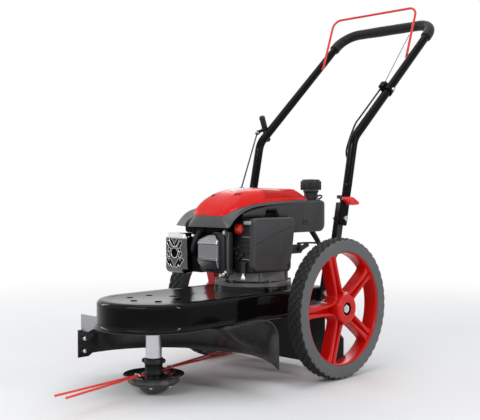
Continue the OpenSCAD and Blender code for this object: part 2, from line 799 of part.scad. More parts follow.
// Cowl, red cover and tank
cowl_low = 161;
cowl_mid = 217;
cowl_right = -126;
cowl_left = 80;
cowl_front = 177;
tank_from = 40;
tank_back = -197;
tank_top = 227;
tank_low = 143;
tank_mid = 177;
nose_low = 193;
nose_right = -48;
nose_left = 60;
nose_back = 118;
module cowl() {
    color("#5b5e62")
    at_engine() difference() {
        union() {
            hull() {
                rounded_block([cowl_right, -cowl_front, cowl_low], [cowl_left, -tank_from, cowl_low + 8], 30, $fn = 32);
                rounded_block([cowl_right + 14, -cowl_front + 12, cowl_mid - 8], [cowl_left - 4, -tank_from, cowl_mid], 30, $fn = 32);
            }
            rounded_block([cowl_right + 8, -tank_from - 60, cowl_low + 12], [tank_right - 1, 60, cowl_mid], 10);
        }
        rounded_block([nose_right - room, -cowl_front - 20, nose_low - room], [nose_left + room, -nose_back, cowl_mid + 1], 4);
        rounded_block([cowl_right + 10, -cowl_front + 14, cowl_low - 1], [cowl_left - 8, -tank_from - 9.5, nose_low - 4], 8);
        translate([cowl_left - 18, 0, 0]) rotate([90, 0, 90]) linear_extrude(40) polygon([
            [-cowl_front + 9, cowl_low - 1], [-cowl_front + 27, cowl_low + 15], [-cowl_front + 47, cowl_low + 31],
            [-cowl_front + 72, cowl_low + 43], [-cowl_front + 102, cowl_low + 49], [0, cowl_low + 49], [0, cowl_low - 1]
        ]);
    }
}
top_low = tank_top;
module top_cover() {
    color("#d6201d")
    at_engine() {
        hull() {
            rounded_block([nose_right - 12, -cowl_front + 14, top_low], [cowl_left - 4, 146, top_low + 4], 26, $fn = 32);
            rounded_block([nose_right - 2, -cowl_front + 34, top_low + 18], [cowl_left - 14, 138, top_low + 20], 26, $fn = 32);
            rounded_block([nose_right + 20, -cowl_front + 62, cowl_h - 3], [cowl_left - 34, 120, cowl_h], 22, $fn = 32);
        }
        hull() {
            rounded_block([nose_right, -cowl_front + 6, nose_low], [nose_left, -nose_back - 1, nose_low + 3], 12, $fn = 32);
            rounded_block([nose_right, -cowl_front + 18, top_low], [nose_left, -nose_back - 1, top_low + 3], 12, $fn = 32);
        }
        rounded_block([nose_right - 8, -cowl_front + 22, cowl_mid], [cowl_left - 8, -tank_from - 1, top_low + 2], 20);
    }
}
insert_t = 2;
module starter_insert() {
    color("#9b9ea2")
    at_engine() translate([12, -40, cowl_h]) linear_extrude(insert_t) rounded_rect(44, 84, 20);
}
tank_right = -40;
tank_left = 84;
neck_x = 52;
neck_y = 176;
neck_d = 43;
neck_h = 26;
module fuel_tank() {
    color("#46494c")
    at_engine() difference() {
        union() {
            rounded_block([tank_right, -tank_from, tank_mid], [tank_left, -tank_back, tank_top - 14], 22);
            hull() {
                rounded_block([tank_right, -tank_from, tank_top - 14], [tank_left, -tank_back, tank_top - 13], 22, $fn = 32);
                rounded_block([tank_right + 4, -tank_from, tank_top - 1], [tank_left - 4, -tank_back - 4, tank_top], 20, $fn = 32);
            }
            hull() {
                rounded_block([tank_right + 8, 62, tank_low], [tank_left - 8, -tank_back - 10, tank_low + 1], 16, $fn = 32);
                rounded_block([tank_right, 54, tank_mid], [tank_left, -tank_back, tank_mid + 1], 22, $fn = 32);
            }
            translate([neck_x, neck_y, tank_top - 1]) cylinder(d = neck_d, h = neck_h + 1);
            translate([neck_x, neck_y, tank_top]) cylinder(d = neck_d - 6, h = neck_h + 10);
        }
        translate([0, 0, ep_h]) cylinder(r = case_r + 2, h = case_top - ep_h + 2);
    }
}
cap_turn_gap = 0.5;
module fuel_cap() {
    color("#2b2d2f")
    at_engine() translate([neck_x, neck_y, tank_top + neck_h + cap_turn_gap]) difference() {
        union() {
            cylinder(d = cap_d, h = cap_h - 4);
            cylinder(d = cap_d - 8, h = cap_h);
        }
        for (k = [0 : 23]) rotate(15 * k) translate([cap_d / 2 + 1, 0, -1]) cylinder(d = 5, h = cap_h, $fn = 16);
        translate([0, 0, -1]) cylinder(d = neck_d - 6 + 2 * room, h = 12);
    }
}

// Engine brake lever under the tank, worked by the bail's cable
brake_x = 62;
brake_y = 118;
brake_z = 96;
module brake_lever() {
    color("#8b8e92")
    at_engine() translate([brake_x, brake_y, brake_z]) rotate([0, 90, 0]) linear_extrude(4) difference() {
        union() {
            circle(d = 16);
            rotate(20) translate([-6, 4]) square([12, 30]);
        }
        circle(d = 6.2);
    }
}

// Handle posts bolted to the deck, with a hook-shaped notch for the knob's bolt
module post(side) {
    foot_out = deck_w / 2 + 8 - leg_x;
    foot_in = deck_w / 2 - leg_x;
    out = post_out - leg_x;
    color("#1b1c1e")
    at_leg(side) difference() {
        translate([0, post_w / 2, 0]) rotate([90, 0, 0]) linear_extrude(post_w) polygon([
            [out, post_top], [out, -88], [foot_out, -138], [foot_out, -236],
            [foot_in, -236], [foot_in, -140], [out - post_t, -96], [out - post_t, post_top]
        ]);
        rotate([0, 90, 0]) cylinder(d = bolt_d + 2 * seat, h = 100, center = true);
        rotate([0, -90, 0]) rotate_extrude(angle = 30, start = -30) translate([knob_at - bolt_d / 2 - 1, -60])
            square([bolt_d + 2, 120]);
        translate([0, 0, knob_at]) rotate([0, 90, 0]) cylinder(d = bolt_d + 2, h = 120, center = true);
        for (z = post_bolts) translate([0, 0, z]) rotate([0, 90, 0]) cylinder(d = bolt_d + 2 * seat, h = 200, center = true);
    }
}
module post_left() { post(1); }
module post_right() { post(-1); }

// Wing knob, a blind nut on the leg's bolt
knob_bolt = 10;
module wing_knob(side) {
    color("#c9221d")
    at_leg(side) translate([0, 0, knob_at]) rotate([0, 90, 0]) difference() {
        union() {
            translate([0, 0, flat_t / 2 + room]) cylinder(d = 22, h = 12);
            translate([0, 0, flat_t / 2 + room + 6]) linear_extrude(14) {
                circle(d = 20);
                square([10, knob_span - 12], center = true);
                for (y = [-1, 1]) translate([0, y * (knob_span / 2 - 7)]) circle(7);
            }
        }
        cylinder(r = bolt_d / 2 + running, h = flat_t / 2 + knob_bolt + room);
    }
}
module wing_knob_left() { wing_knob(1); }
module wing_knob_right() { wing_knob(-1); }

// Handle: a ring section, an elbow from +Z towards +Y, and one leg up to the grip
module elbow(r, angle) {
    translate([0, r, 0]) rotate([90, 0, -90]) rotate_extrude(angle = angle) translate([r, 0]) children();
}
spare_at = 24;
module leg_bores() {
    rotate([0, 90, 0]) cylinder(d = bolt_d + 2 * running, h = 60, center = true);
    translate([0, 0, spare_at]) rotate([0, 90, 0]) cylinder(d = bolt_d + 0.5, h = 60, center = true);
}
module leg_end() {
    translate([-flat_t / 2 - post_t - 6, 0, knob_at]) rotate([0, 90, 0]) {
        cylinder(d = bolt_d, h = flat_t + post_t + 6 + knob_bolt);
        translate([0, 0, -5]) cylinder(d = 1.9 * bolt_d, h = 5, $fn = 6);
    }
    translate([0, 0, flat_low]) linear_extrude(flat_high - flat_low) rounded_rect(flat_t, flat_w, 4.5);
    hull() {
        translate([0, 0, flat_high - 1]) linear_extrude(1) rounded_rect(flat_t, flat_w, 4.5, $fn = 32);
        translate([0, 0, round_from - 1]) linear_extrude(1) circle(d = tube_d, $fn = 48);
    }
}
grip_z = pivot_z + leg_len * cos(leg_lean) + upper_len * sin(upper_pitch);
// Solid rods along the handle: the upper run with its corners and bar, and the legs with their bends
module upper_frame() {
    translate([0, pivot_y, pivot_z]) rotate([-leg_lean, 0, 0]) translate([0, 0, leg_len]) rotate([-turn, 0, 0])
        children();
}
sunk = 0.6;
swell = 0.5;
module grip_rod(d, from) {
    rise = upper_len - corner_r;
    upper_frame() {
        for (s = [0, 1]) mirror([s, 0, 0]) translate([leg_x, 0, 0]) {
            translate([0, 0, from]) cylinder(d = d, h = rise - from + sunk);
            translate([0, 0, rise]) rotate(90) elbow(corner_r, 90) circle(d = d + swell);
        }
        translate([0, 0, upper_len]) rotate([0, 90, 0])
            cylinder(d = d, h = 2 * (leg_x - corner_r + sunk), center = true);
    }
}
module leg_rod(d, from) {
    upper_frame() for (s = [0, 1]) mirror([s, 0, 0])
        translate([leg_x, 0, bend_trim]) rotate([0, 180, 0]) elbow(bend_r, turn) circle(d = d + swell);
    for (side = [-1, 1]) at_leg(side) translate([0, 0, from])
        cylinder(d = d, h = leg_len - bend_trim - from + sunk);
}
module handle_tube() {
    color("#191a1c")
    difference() {
        union() {
            leg_rod(tube_d, round_from);
            grip_rod(tube_d, bend_trim - sunk);
            for (side = [-1, 1]) at_leg(side) leg_end();
        }
        leg_rod(tube_d - 2 * tube_wall, round_from + 2);
        grip_rod(tube_d - 2 * tube_wall, bend_trim - sunk);
        for (side = [-1, 1]) {
            at_leg(side) leg_bores();
            at_upper(side) translate([-tube_d / 2, 0, bail_at]) rotate([0, 90, 0])
                cylinder(r = bail_d / 2 + running, h = 12, center = true);
        }
    }
}
foam_end = 16;
module foam_grip() {
    color("#3a3c3e")
    difference() {
        grip_rod(foam_d, upper_len - corner_r - foam_end);
        grip_rod(tube_d + 2 * seat, upper_len - corner_r - foam_end - 1);
    }
}

// Bail: arms from pins in the tubes up to a crossbar
bail_x = leg_x - tube_d / 2 - 1 - bail_d / 2;
bail_corner = 26;
bail_foot = 4.4;
bail_y = axle_y + pivot_behind + leg_len * sin(leg_lean) + bail_at * cos(upper_pitch);
bail_z = pivot_z + leg_len * cos(leg_lean) + bail_at * sin(upper_pitch);
module bail() {
    rise = bail_len - bail_corner;
    color("#c9302b")
    translate([0, bail_y, bail_z]) rotate([-bail_lean, 0, 0]) {
        for (s = [0, 1]) mirror([s, 0, 0]) {
            translate([bail_x + bail_foot, 0, 0]) rotate([0, 90, 0]) cylinder(d = bail_d, h = leg_x - bail_x - bail_foot - 6);
            translate([bail_x, 0, bail_foot]) rotate([0, 180, 0]) rotate(90) elbow(bail_foot, 90) circle(d = bail_d);
            translate([bail_x, 0, bail_foot]) cylinder(d = bail_d, h = rise - bail_foot);
            translate([bail_x, 0, rise]) rotate(90) elbow(bail_corner, 90) circle(d = bail_d);
        }
        translate([0, 0, bail_len]) rotate([0, 90, 0]) cylinder(d = bail_d, h = 2 * (bail_x - bail_corner), center = true);
    }
}

// Cable: clamp on the left leg, wire to the bail, sheath down to the engine brake
clamp_at = 205;
clamp_l = 22;
module cable_clamp() {
    color("#0f1012")
    at_upper(1) translate([0, 0, clamp_at]) difference() {
        union() {
            cylinder(d = tube_d + 8, h = clamp_l);
            translate([-18, -22, 0]) cube([16, 16, clamp_l]);
        }
        translate([0, 0, -1]) cylinder(r = tube_d / 2 + seat, h = clamp_l + 2);
        translate([-12, -15, -1]) cylinder(d = 6, h = clamp_l + 2);
    }
}
function turned(v, a) = [v[0], v[1] * cos(a) - v[2] * sin(a), v[1] * sin(a) + v[2] * cos(a)];
function upper_point(v) = [leg_x, pivot_y, pivot_z] + turned([0, 0, leg_len], -leg_lean) + turned(v, -leg_lean - turn);
function leg_point(v) = [leg_x, pivot_y, pivot_z] + turned(v, -leg_lean);
wire_d = 2.5;
crimp_at = 78;
wire_top = [bail_x - bail_d / 2 - 3, bail_y + crimp_at * sin(bail_lean), bail_z + crimp_at * cos(bail_lean)];
wire_foot = upper_point([-12, -15, clamp_at + clamp_l - 1.5]);
module cable_wire() {
    color("#9a9da1")
    swept_tube([for (i = [0 : 4]) wire_foot + (wire_top - wire_foot) * i / 4], wire_d, 8, [1, 0, 0]);
}
sheath_d = 5;
sheath_route = [
    upper_point([-12, -15, clamp_at + clamp_l - 2]), upper_point([-12, -15, 190]), upper_point([-12, -15, 150]),
    upper_point([-12, -15, 110]), upper_point([-13, -14.5, 75]), upper_point([-16, -10, 42]),
    leg_point([-18, -1, 188]), leg_point([-17, 8, 160]), leg_point([-15, 13, 130])
];
module cable_sheath() {
    color("#0f1012") swept_tube(sheath_route, sheath_d, 8, [1, 0, 0]);
}

function engine_point(v) = [v[0], engine_y + v[1], deck_top + v[2]];
lower_route = [
    leg_point([-15, 13, 129]), leg_point([-16, 15.5, 100]), leg_point([-18, 17, 70]), leg_point([-18, 17.5, 35]),
    leg_point([-18, 17.5, 0]), leg_point([-20, 17, -30]), engine_point([143, 177, 124]), engine_point([124, 177, 112]),
    engine_point([98, 174, 110.6]), engine_point([75, 166, 110.6]), engine_point([58.5, 152, 110.6]),
    engine_point([55, 134, 110.6]), engine_point([55, 116, 110.6])
];
// Point of a smooth curve through four points, by the blend of Catmull and Rom
function blend_at(a, b, c, d, t) =
    b + t * (c - a) / 2 + t * t * (a - 2.5 * b + 2 * c - d / 2) + t * t * t * (1.5 * b - 1.5 * c + d / 2 - a / 2);
function smooth(p, n) = [
    for (i = [0 : len(p) - 2], k = [0 : n - 1])
        blend_at(p[max(i - 1, 0)], p[i], p[i + 1], p[min(i + 2, len(p) - 1)], k / n),
    p[len(p) - 1]
];
module cable_lower() {
    color("#0f1012") swept_tube(smooth(lower_route, 3), sheath_d, 8, [1, 0, 0]);
}

// Starter rope from the red cover to its guide on the right leg, and the grip
guide_at = 28;
guide_x = tube_d / 2 + 10;
guide_y = -16;
guide_r = 6;
guide_wire = 3;
function right_side(p) = [-p[0], p[1], p[2]];
guide_eye = right_side(upper_point([guide_x, guide_y, guide_at]));
rope_d = 4;
rope_from = [-14, engine_y - 28.6, deck_top + cowl_h + 1.9];
module rope_guide() {
    out = norm([guide_x, guide_y]);
    color("#cfd2d5")
    at_upper(-1) translate([0, 0, guide_at]) {
        translate([guide_x, guide_y, 0]) rotate_extrude() translate([guide_r, 0]) circle(d = guide_wire, $fn = 24);
        rotate(atan2(guide_y, guide_x)) translate([tube_d / 2, 0, 0]) rotate([0, 90, 0])
            cylinder(d = guide_wire - 0.2, h = out - guide_r - tube_d / 2, $fn = 24);
    }
}
module starter_rope() {
    color("#1d1e20")
    swept_tube([for (i = [0 : 8]) rope_from + (guide_eye - rope_from) * i / 8], rope_d, 8, [1, 0, 0]);
}
grip_len = 82;
grip_d = 18;
grip_stem = 32;
grip_tilt = 20;
module starter_grip() {
    color("#26282a")
    at_upper(-1) translate([guide_x, guide_y, guide_at + guide_wire / 2 + room]) {
        cylinder(d1 = 11, d2 = 13, h = 7);
        translate([0, 0, 5]) rotate([-grip_tilt, 0, 0]) {
            cylinder(d = 10, h = grip_stem);
            translate([0, 0, grip_stem]) rotate([90, 0, 0]) cylinder(d = grip_d, h = grip_len, center = true);
        }
    }
}

deck_shell();
belt_plate();
guard();
guard_bracket();
guard_stay();
rear_flap();
frame_bolts();
spindle_housing();
spindle_bearings();
spindle_shaft();
driven_pulley();
head_collar();
head_hardware();
dish_plate();
line_ring();
ground_dome();
cutting_lines();
crankshaft();
drive_pulley();
drive_belt();
axle();
axle_bushes();
axle_spacers();
axle_nuts();
wheel_rim_left();
wheel_rim_right();
tyre_left();
tyre_right();
engine_plate();
crankcase();
cylinder_block();
cylinder_head();
valve_cover();
plug_boot();
muffler_body();
muffler_guard();
intake_box();
primer_bulb();
filter_cover();
cowl();
top_cover();
starter_insert();
fuel_tank();
fuel_cap();
brake_lever();
post_left();
post_right();
wing_knob_left();
wing_knob_right();
handle_tube();
foam_grip();
bail();
cable_wire();
cable_clamp();
cable_sheath();
cable_lower();
rope_guide();
starter_grip();
starter_rope();
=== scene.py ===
import json
import math

import bpy
import numpy as np
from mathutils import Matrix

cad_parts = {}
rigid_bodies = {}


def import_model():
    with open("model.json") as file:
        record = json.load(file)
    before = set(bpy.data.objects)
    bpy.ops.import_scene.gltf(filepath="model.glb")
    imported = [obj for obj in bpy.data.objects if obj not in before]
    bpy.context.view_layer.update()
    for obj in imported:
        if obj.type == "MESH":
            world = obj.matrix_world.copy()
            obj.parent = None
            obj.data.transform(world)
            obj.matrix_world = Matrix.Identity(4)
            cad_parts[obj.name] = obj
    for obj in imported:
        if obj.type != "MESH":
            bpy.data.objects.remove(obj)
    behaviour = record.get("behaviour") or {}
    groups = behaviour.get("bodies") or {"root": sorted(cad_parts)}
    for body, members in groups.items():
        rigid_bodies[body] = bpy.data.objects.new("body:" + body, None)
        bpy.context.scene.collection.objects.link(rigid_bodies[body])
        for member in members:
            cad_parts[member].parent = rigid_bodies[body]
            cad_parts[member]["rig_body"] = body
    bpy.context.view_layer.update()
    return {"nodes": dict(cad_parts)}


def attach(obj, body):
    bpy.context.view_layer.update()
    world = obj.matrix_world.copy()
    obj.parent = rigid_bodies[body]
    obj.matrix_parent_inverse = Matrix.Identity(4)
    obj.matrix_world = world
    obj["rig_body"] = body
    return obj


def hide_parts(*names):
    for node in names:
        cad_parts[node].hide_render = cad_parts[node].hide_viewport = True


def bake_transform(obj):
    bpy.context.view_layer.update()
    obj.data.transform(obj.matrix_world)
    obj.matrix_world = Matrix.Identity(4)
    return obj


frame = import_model()
NODES = frame["nodes"]

# Lengths below are millimetres in the row frame; meshes are written in metres
MM = 0.001
TAU = 2 * math.pi
ENGINE = np.array([0.0, 1.584, 223.0])
SPINDLE = np.array([0.0, -340.416, 0.0])
AXLE = np.array([0.0, 86.584, 178.0])
LEG_X, PIVOT_Y, PIVOT_Z = 169.0, 167.584, 402.0
LEAN, UPPER_PITCH = 12.3, 41.6
LEG_LEN, UPPER_LEN = 217.0, 549.0
TURN = 90 - LEAN - UPPER_PITCH
BEND_R, CORNER_R = 60.0, 60.0
TUBE_R, CLAMP_AT = 12.0, 205.0
BAIL_X, BAIL_LEN, BAIL_LEAN, BAIL_AT = 152.5, 168.0, 20.0, 369.0
WHEEL_X = 216.5
DECK_HALF, DECK_REAR = 132.0, 150.584
CAP_AT = [52, 176, 0]
GRIP_FOOT = [22, -16, 34.8]
LINE_TURNS = (10, 190)


# Places on the machine

def leaned(v, angle):
    """Points turned about X so that their own Z axis leans back by angle degrees."""
    v = np.asarray(v, float)
    c, s = math.cos(math.radians(angle)), math.sin(math.radians(angle))
    return np.stack([v[..., 0], v[..., 1] * c + v[..., 2] * s, v[..., 2] * c - v[..., 1] * s], axis=-1)


def on_leg(v, side=1):
    """Points of a leg's own frame, X outwards and Z up the leg from the fold pivot."""
    return (leaned(v, LEAN) + [LEG_X, PIVOT_Y, PIVOT_Z]) * [side, 1, 1]


def on_upper(v, side=1):
    """Points of the upper handle's frame on one side, Z up the tube from the bend."""
    bend = leaned([0, 0, LEG_LEN], LEAN) + [LEG_X, PIVOT_Y, PIVOT_Z]
    return (leaned(v, LEAN + TURN) + bend) * [side, 1, 1]


def on_engine(v):
    """Points of the engine's frame, from the shaft's middle on the deck."""
    return np.asarray(v, float) + ENGINE


def turned(v, degrees):
    """Points turned round the Z axis."""
    c, s = math.cos(math.radians(degrees)), math.sin(math.radians(degrees))
    return np.stack([v[..., 0] * c - v[..., 1] * s, v[..., 0] * s + v[..., 1] * c, v[..., 2]], axis=-1)


def at_head(v):
    """Points of the trimmer head, whose Z axis is the spindle."""
    return v + SPINDLE


def fronted(v):
    """Points with their own Z axis turned to the front and their Y axis turned up."""
    return v[:, [0, 2, 1]] * [1, -1, 1]


def sided(v):
    """Points with their own Z axis turned to the left and their Y axis turned up."""
    return v[:, [2, 0, 1]]


# Shapes as grids of points

def quads(rows, columns, wrap_rows=False, wrap_columns=False):
    """Corner numbers of every cell of a grid, counted row by row."""
    i = np.arange(rows if wrap_rows else rows - 1)[:, None]
    j = np.arange(columns if wrap_columns else columns - 1)[None, :]
    i2, j2 = (i + 1) % rows, (j + 1) % columns
    cells = np.stack([i * columns + j, i * columns + j2, i2 * columns + j2, i2 * columns + j], axis=-1)
    return cells.reshape(-1, 4)


def surface(points, wrap_rows=False, wrap_columns=False, caps=False):
    """A grid of points as a skin; caps closes the first and last row with a fan to the row's middle."""
    rows, columns = points.shape[:2]
    verts = points.reshape(-1, 3)
    faces = [quads(rows, columns, wrap_rows, wrap_columns)]
    if caps:
        j = np.arange(columns if wrap_columns else columns - 1)
        j2 = (j + 1) % columns
        first, last = len(verts), len(verts) + 1
        end = (rows - 1) * columns
        verts = np.vstack([verts, points[0].mean(axis=0), points[-1].mean(axis=0)])
        faces.append(np.stack([j2, j, np.full_like(j, first)], axis=1))
        faces.append(np.stack([end + j, end + j2, np.full_like(j, last)], axis=1))
    return verts, faces


def join(*shapes):
    """Several skins as one."""
    verts, faces, count = [], [], 0
    for v, f in shapes:
        verts.append(v)
        faces += [a + count for a in f]
        count += len(v)
    return np.vstack(verts), faces


def moved(shape, place):
    """A skin with its points passed through a placing function."""
    return place(shape[0]), shape[1]


def shifted(shape, *steps):
    """Copies of a skin moved by each of the given steps."""
    return join(*[(shape[0] + np.asarray(step, float), shape[1]) for step in steps])


def ringed(shape, angles):
    """Copies of a skin turned round the Z axis to each of the given angles."""
    return join(*[(turned(shape[0], a), shape[1]) for a in angles])


def lathe(profile, steps):
    """Profile of (radius, height) pairs turned round the Z axis: a grid with a row for each pair."""
    r, z = np.asarray(profile, float).T[..., None]
    a = np.linspace(0, TAU, steps, endpoint=False)[None, :]
    return np.stack([r * np.cos(a), r * np.sin(a), z + 0 * a], axis=-1)


def revolved(profile, steps=64):
    """Closed profile turned round the Z axis."""
    return surface(lathe(profile, steps).swapaxes(0, 1), wrap_rows=True, wrap_columns=True)


def spun(profile, steps=48):
    """Open profile turned round the Z axis, its two ends closed by discs."""
    return surface(lathe(profile, steps), wrap_columns=True, caps=True)


def smooth_line(points, per_span=8, closed=False):
    """Curve through points: each span is the cubic whose end slopes join the neighbouring points."""
    p = np.asarray(points, float)
    n = len(p)
    i = np.arange(n if closed else n - 1)[:, None] + [-1, 0, 1, 2]
    i = i % n if closed else np.clip(i, 0, n - 1)
    a, b, c, d = p[i].swapaxes(0, 1)[:, :, None]
    t = (np.arange(per_span) / per_span)[None, :, None]
    line = b + t * (c - a) / 2 + t ** 2 * (a - 2.5 * b + 2 * c - d / 2) + t ** 3 * (1.5 * (b - c) + (d - a) / 2)
    line = line.reshape(-1, p.shape[1])
    return line if closed else np.vstack([line, p[-1]])


def unit(v):
    """Vectors brought to a length of one."""
    return v / np.maximum(np.linalg.norm(v, axis=-1, keepdims=True), 1e-9)


def directions(path):
    """Unit headings of a path, from each point's neighbours."""
    return unit(np.gradient(path, axis=0))


def swept(path, section):
    """Section carried along a path: its first axis lies across the X direction, its second along it.
    section is (points, 2), or (path points, section points, 2) where it changes on the way."""
    path = np.asarray(path, float)
    section = np.asarray(section, float)
    if section.ndim == 2:
        section = np.repeat(section[None], len(path), axis=0)
    along = directions(path)
    first = unit(np.cross(along, [1.0, 0, 0]))
    second = np.cross(along, first)
    grid = path[:, None] + section[..., :1] * first[:, None] + section[..., 1:] * second[:, None]
    return surface(grid, wrap_columns=True, caps=True)


def round_section(r, steps=20):
    """Points of a circle; r may be one radius for each point."""
    a = np.linspace(0, TAU, steps, endpoint=False)
    return np.stack([r * np.cos(a), r * np.sin(a)], axis=1)


def tube(path, r, steps=20):
    """Round tube along a path."""
    return swept(path, round_section(r, steps))


def pipe(path, r, up, steps):
    """Round tube along a path that lies across the up direction; r is one radius, or one for each point."""
    other = np.cross(directions(path), up)[:, None]
    t = np.linspace(0, TAU, steps, endpoint=False)[None, :, None]
    ring = np.cos(t) * up + np.sin(t) * other
    return surface(path[:, None] + np.reshape(r, (-1, 1, 1)) * ring, wrap_columns=True, caps=True)


def rounded_rectangle(low, high, r, steps=6):
    """Outline of a rectangle with rounded corners, anticlockwise."""
    (x0, y0), (x1, y1) = low, high
    a = np.linspace(0, math.pi / 2, steps)
    parts = []
    for k, (cx, cy) in enumerate([(x1 - r, y1 - r), (x0 + r, y1 - r), (x0 + r, y0 + r), (x1 - r, y0 + r)]):
        t = a + k * math.pi / 2
        parts.append(np.stack([cx + r * np.cos(t), cy + r * np.sin(t)], axis=1))
    return np.vstack(parts)


def inset(outline, by):
    """A closed outline drawn in along its own normals."""
    d = np.roll(outline, -1, axis=0) - np.roll(outline, 1, axis=0)
    return outline + unit(np.stack([-d[:, 1], d[:, 0]], axis=1)) * by


def slab(outline, low, high, edge=1.0, steps=4):
    """Plate of a closed outline between two heights, its rims rounded by a quarter circle."""
    a = np.linspace(0, math.pi / 2, steps)
    rings = [(edge * (1 - math.sin(t)), low + edge * (1 - math.cos(t))) for t in a]
    rings += [(edge * (1 - math.cos(t)), high - edge * (1 - math.sin(t))) for t in a]
    grid = np.stack([np.column_stack([inset(outline, b), np.full(len(outline), z)]) for b, z in rings])
    return surface(grid, wrap_columns=True, caps=True)


def eased(count):
    """Numbers from -1 to 1 that lie closer together near both ends."""
    t = np.linspace(-1, 1, count)
    return np.sin(t * math.pi / 2) * 0.5 + t * 0.5


def border(rows, columns):
    """Point numbers round the outside of a grid, in order."""
    ids = np.arange(rows * columns).reshape(rows, columns)
    return np.concatenate([ids[0, :-1], ids[:-1, -1], ids[-1, :0:-1], ids[:0:-1, 0]])


def raised(a, b, inside, face, back, edge, holes=None):
    """Grid of places (a, b) lifted to face(a, b), rounded off where inside, the distance to the rim, is under
    edge; walls run from the rim down to back. With holes, a distance that is negative in them, their cells
    are left out and the back stays open."""
    near = edge - np.clip(inside, 0, edge)
    c = face(a, b) - (edge - np.sqrt(np.maximum(edge * edge - near * near, 0)))
    rows, columns = c.shape
    rim = border(rows, columns)
    verts = np.stack([a, b, c], axis=-1).reshape(-1, 3)
    foot = verts[rim].copy()
    foot[:, 2] = back
    k = np.arange(len(rim))
    k2 = (k + 1) % len(rim)
    first = len(verts)
    cells = quads(rows, columns)
    walls = np.stack([rim[k2], rim[k], first + k, first + k2], axis=1)
    if holes is not None:
        middles = verts[cells].mean(axis=1)
        return np.vstack([verts, foot]), [cells[holes(middles[:, 0], middles[:, 1]) > 0], walls]
    verts = np.vstack([verts, foot, foot.mean(axis=0)])
    return verts, [cells, walls, np.stack([first + k2, first + k, np.full_like(k, first + len(rim))], axis=1)]


def faced_block(half_a, half_b, r, face, back, edge=4.0, cells=(48, 48), holes=None):
    """Rounded rectangle on a grid whose rows narrow at the corners, raised to a face. Grid points close to the
    outline of a hole are drawn onto it along the slope of the holes' distance."""
    u, v = eased(cells[0]), eased(cells[1])
    b = (v * half_b)[:, None] + 0 * u[None, :]
    over = np.maximum(np.abs(b) - (half_b - r), 0)
    a = u[None, :] * (half_a - r + np.sqrt(np.maximum(r * r - over * over, 0)))
    qa, qb = np.abs(a) - (half_a - r), np.abs(b) - (half_b - r)
    inside = r - np.hypot(np.maximum(qa, 0), np.maximum(qb, 0)) - np.minimum(np.maximum(qa, qb), 0)
    if holes is not None:
        away, step = holes(a, b), 0.05
        slope_a = (holes(a + step, b) - holes(a - step, b)) / (2 * step)
        slope_b = (holes(a, b + step) - holes(a, b - step)) / (2 * step)
        pull = np.where(np.abs(away) < 0.55 * max(2 * half_a / cells[0], 2 * half_b / cells[1]), away, 0)
        a, b = a - pull * slope_a, b - pull * slope_b
    return raised(a, b, inside, face, back, edge, holes)


def faced_plate(heights, left, right, face, back, edge=3.0, columns=40):
    """Plate between a left and a right border, one row for each height, raised to a face."""
    share = (eased(columns)[None, :] + 1) / 2
    a = left[:, None] + (right - left)[:, None] * share
    b = heights[:, None] + 0 * a
    inside = np.minimum(np.minimum(a - left[:, None], right[:, None] - a), np.minimum(b - b[0, 0], b[-1, 0] - b))
    return raised(a, b, inside, face, back, edge)


def sheeted(points, thick):
    """Open grid of points given a thickness along its own normals, its borders closed."""
    rows, columns = points.shape[:2]
    n = unit(np.cross(np.gradient(points, axis=1), np.gradient(points, axis=0)))
    verts = np.concatenate([points.reshape(-1, 3), (points + n * thick).reshape(-1, 3)])
    count = rows * columns
    cells, rim = quads(rows, columns), border(rows, columns)
    after = np.roll(rim, -1)
    return verts, [cells, cells[:, ::-1] + count, np.stack([after, rim, rim + count, after + count], axis=1)]


def evened(points, count, cuts=3):
    """Open line with its corners cut off a quarter at a time, then sampled at even distances."""
    line = np.asarray(points, float)
    for _ in range(cuts):
        a, b = line[:-1], line[1:]
        inner = np.stack([a * 0.75 + b * 0.25, a * 0.25 + b * 0.75], axis=1).reshape(-1, line.shape[1])
        line = np.vstack([line[:1], inner[1:-1], line[-1:]])
    step = np.concatenate([[0], np.cumsum(np.linalg.norm(np.diff(line, axis=0), axis=1))])
    even = np.linspace(0, step[-1], count)
    return np.stack([np.interp(even, step, line[:, k]) for k in range(line.shape[1])], axis=1)


def eased_step(x, low, high):
    """0 below low, 1 above high and a smooth S between."""
    t = np.clip((np.asarray(x, float) - low) / (high - low), 0, 1)
    return t * t * (3 - 2 * t)


def hexagon(r, low, high, edge=0.8):
    """Six-sided bolt head with a rounded rim."""
    return slab(round_section(r, 6), low, high, edge)


def volume(verts, faces):
    """Signed volume inside a closed skin."""
    total = 0.0
    for f in faces:
        for k in range(1, f.shape[1] - 1):
            a, b, c = verts[f[:, 0]], verts[f[:, k]], verts[f[:, k + 1]]
            total += np.einsum("ij,ij->i", a, np.cross(b, c)).sum()
    return total


def piece(name, shape, finish, nodes=(), body="chassis", angle=38, second=None, rides=True):
    """Makes a skin an object: outward faces, smooth within angle, riding where its nodes ride, or else on body.
    second is another finish with a test of face middles that says where it goes."""
    verts, faces = shape
    if volume(verts - verts.mean(axis=0), faces) < 0:
        faces = [f[:, ::-1] for f in faces]
    mesh = bpy.data.meshes.new(name)
    mesh.from_pydata((verts * MM).tolist(), [], [f for a in faces for f in a.tolist()])
    mesh.polygons.foreach_set("use_smooth", np.ones(len(mesh.polygons), bool))
    mesh.set_sharp_from_angle(angle=math.radians(angle))
    mesh.materials.append(finish)
    if second:
        mesh.materials.append(second[0])
        middles = np.concatenate([verts[f].mean(axis=1) for f in faces])
        mesh.polygons.foreach_set("material_index", second[1](middles).astype(np.int32))
    mesh.update()
    obj = bpy.data.objects.new(name, mesh)
    bpy.context.scene.collection.objects.link(obj)
    if rides:
        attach(obj, NODES[nodes[0]]["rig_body"] if nodes else body)
    if nodes:
        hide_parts(*nodes)
    return obj


# Finishes

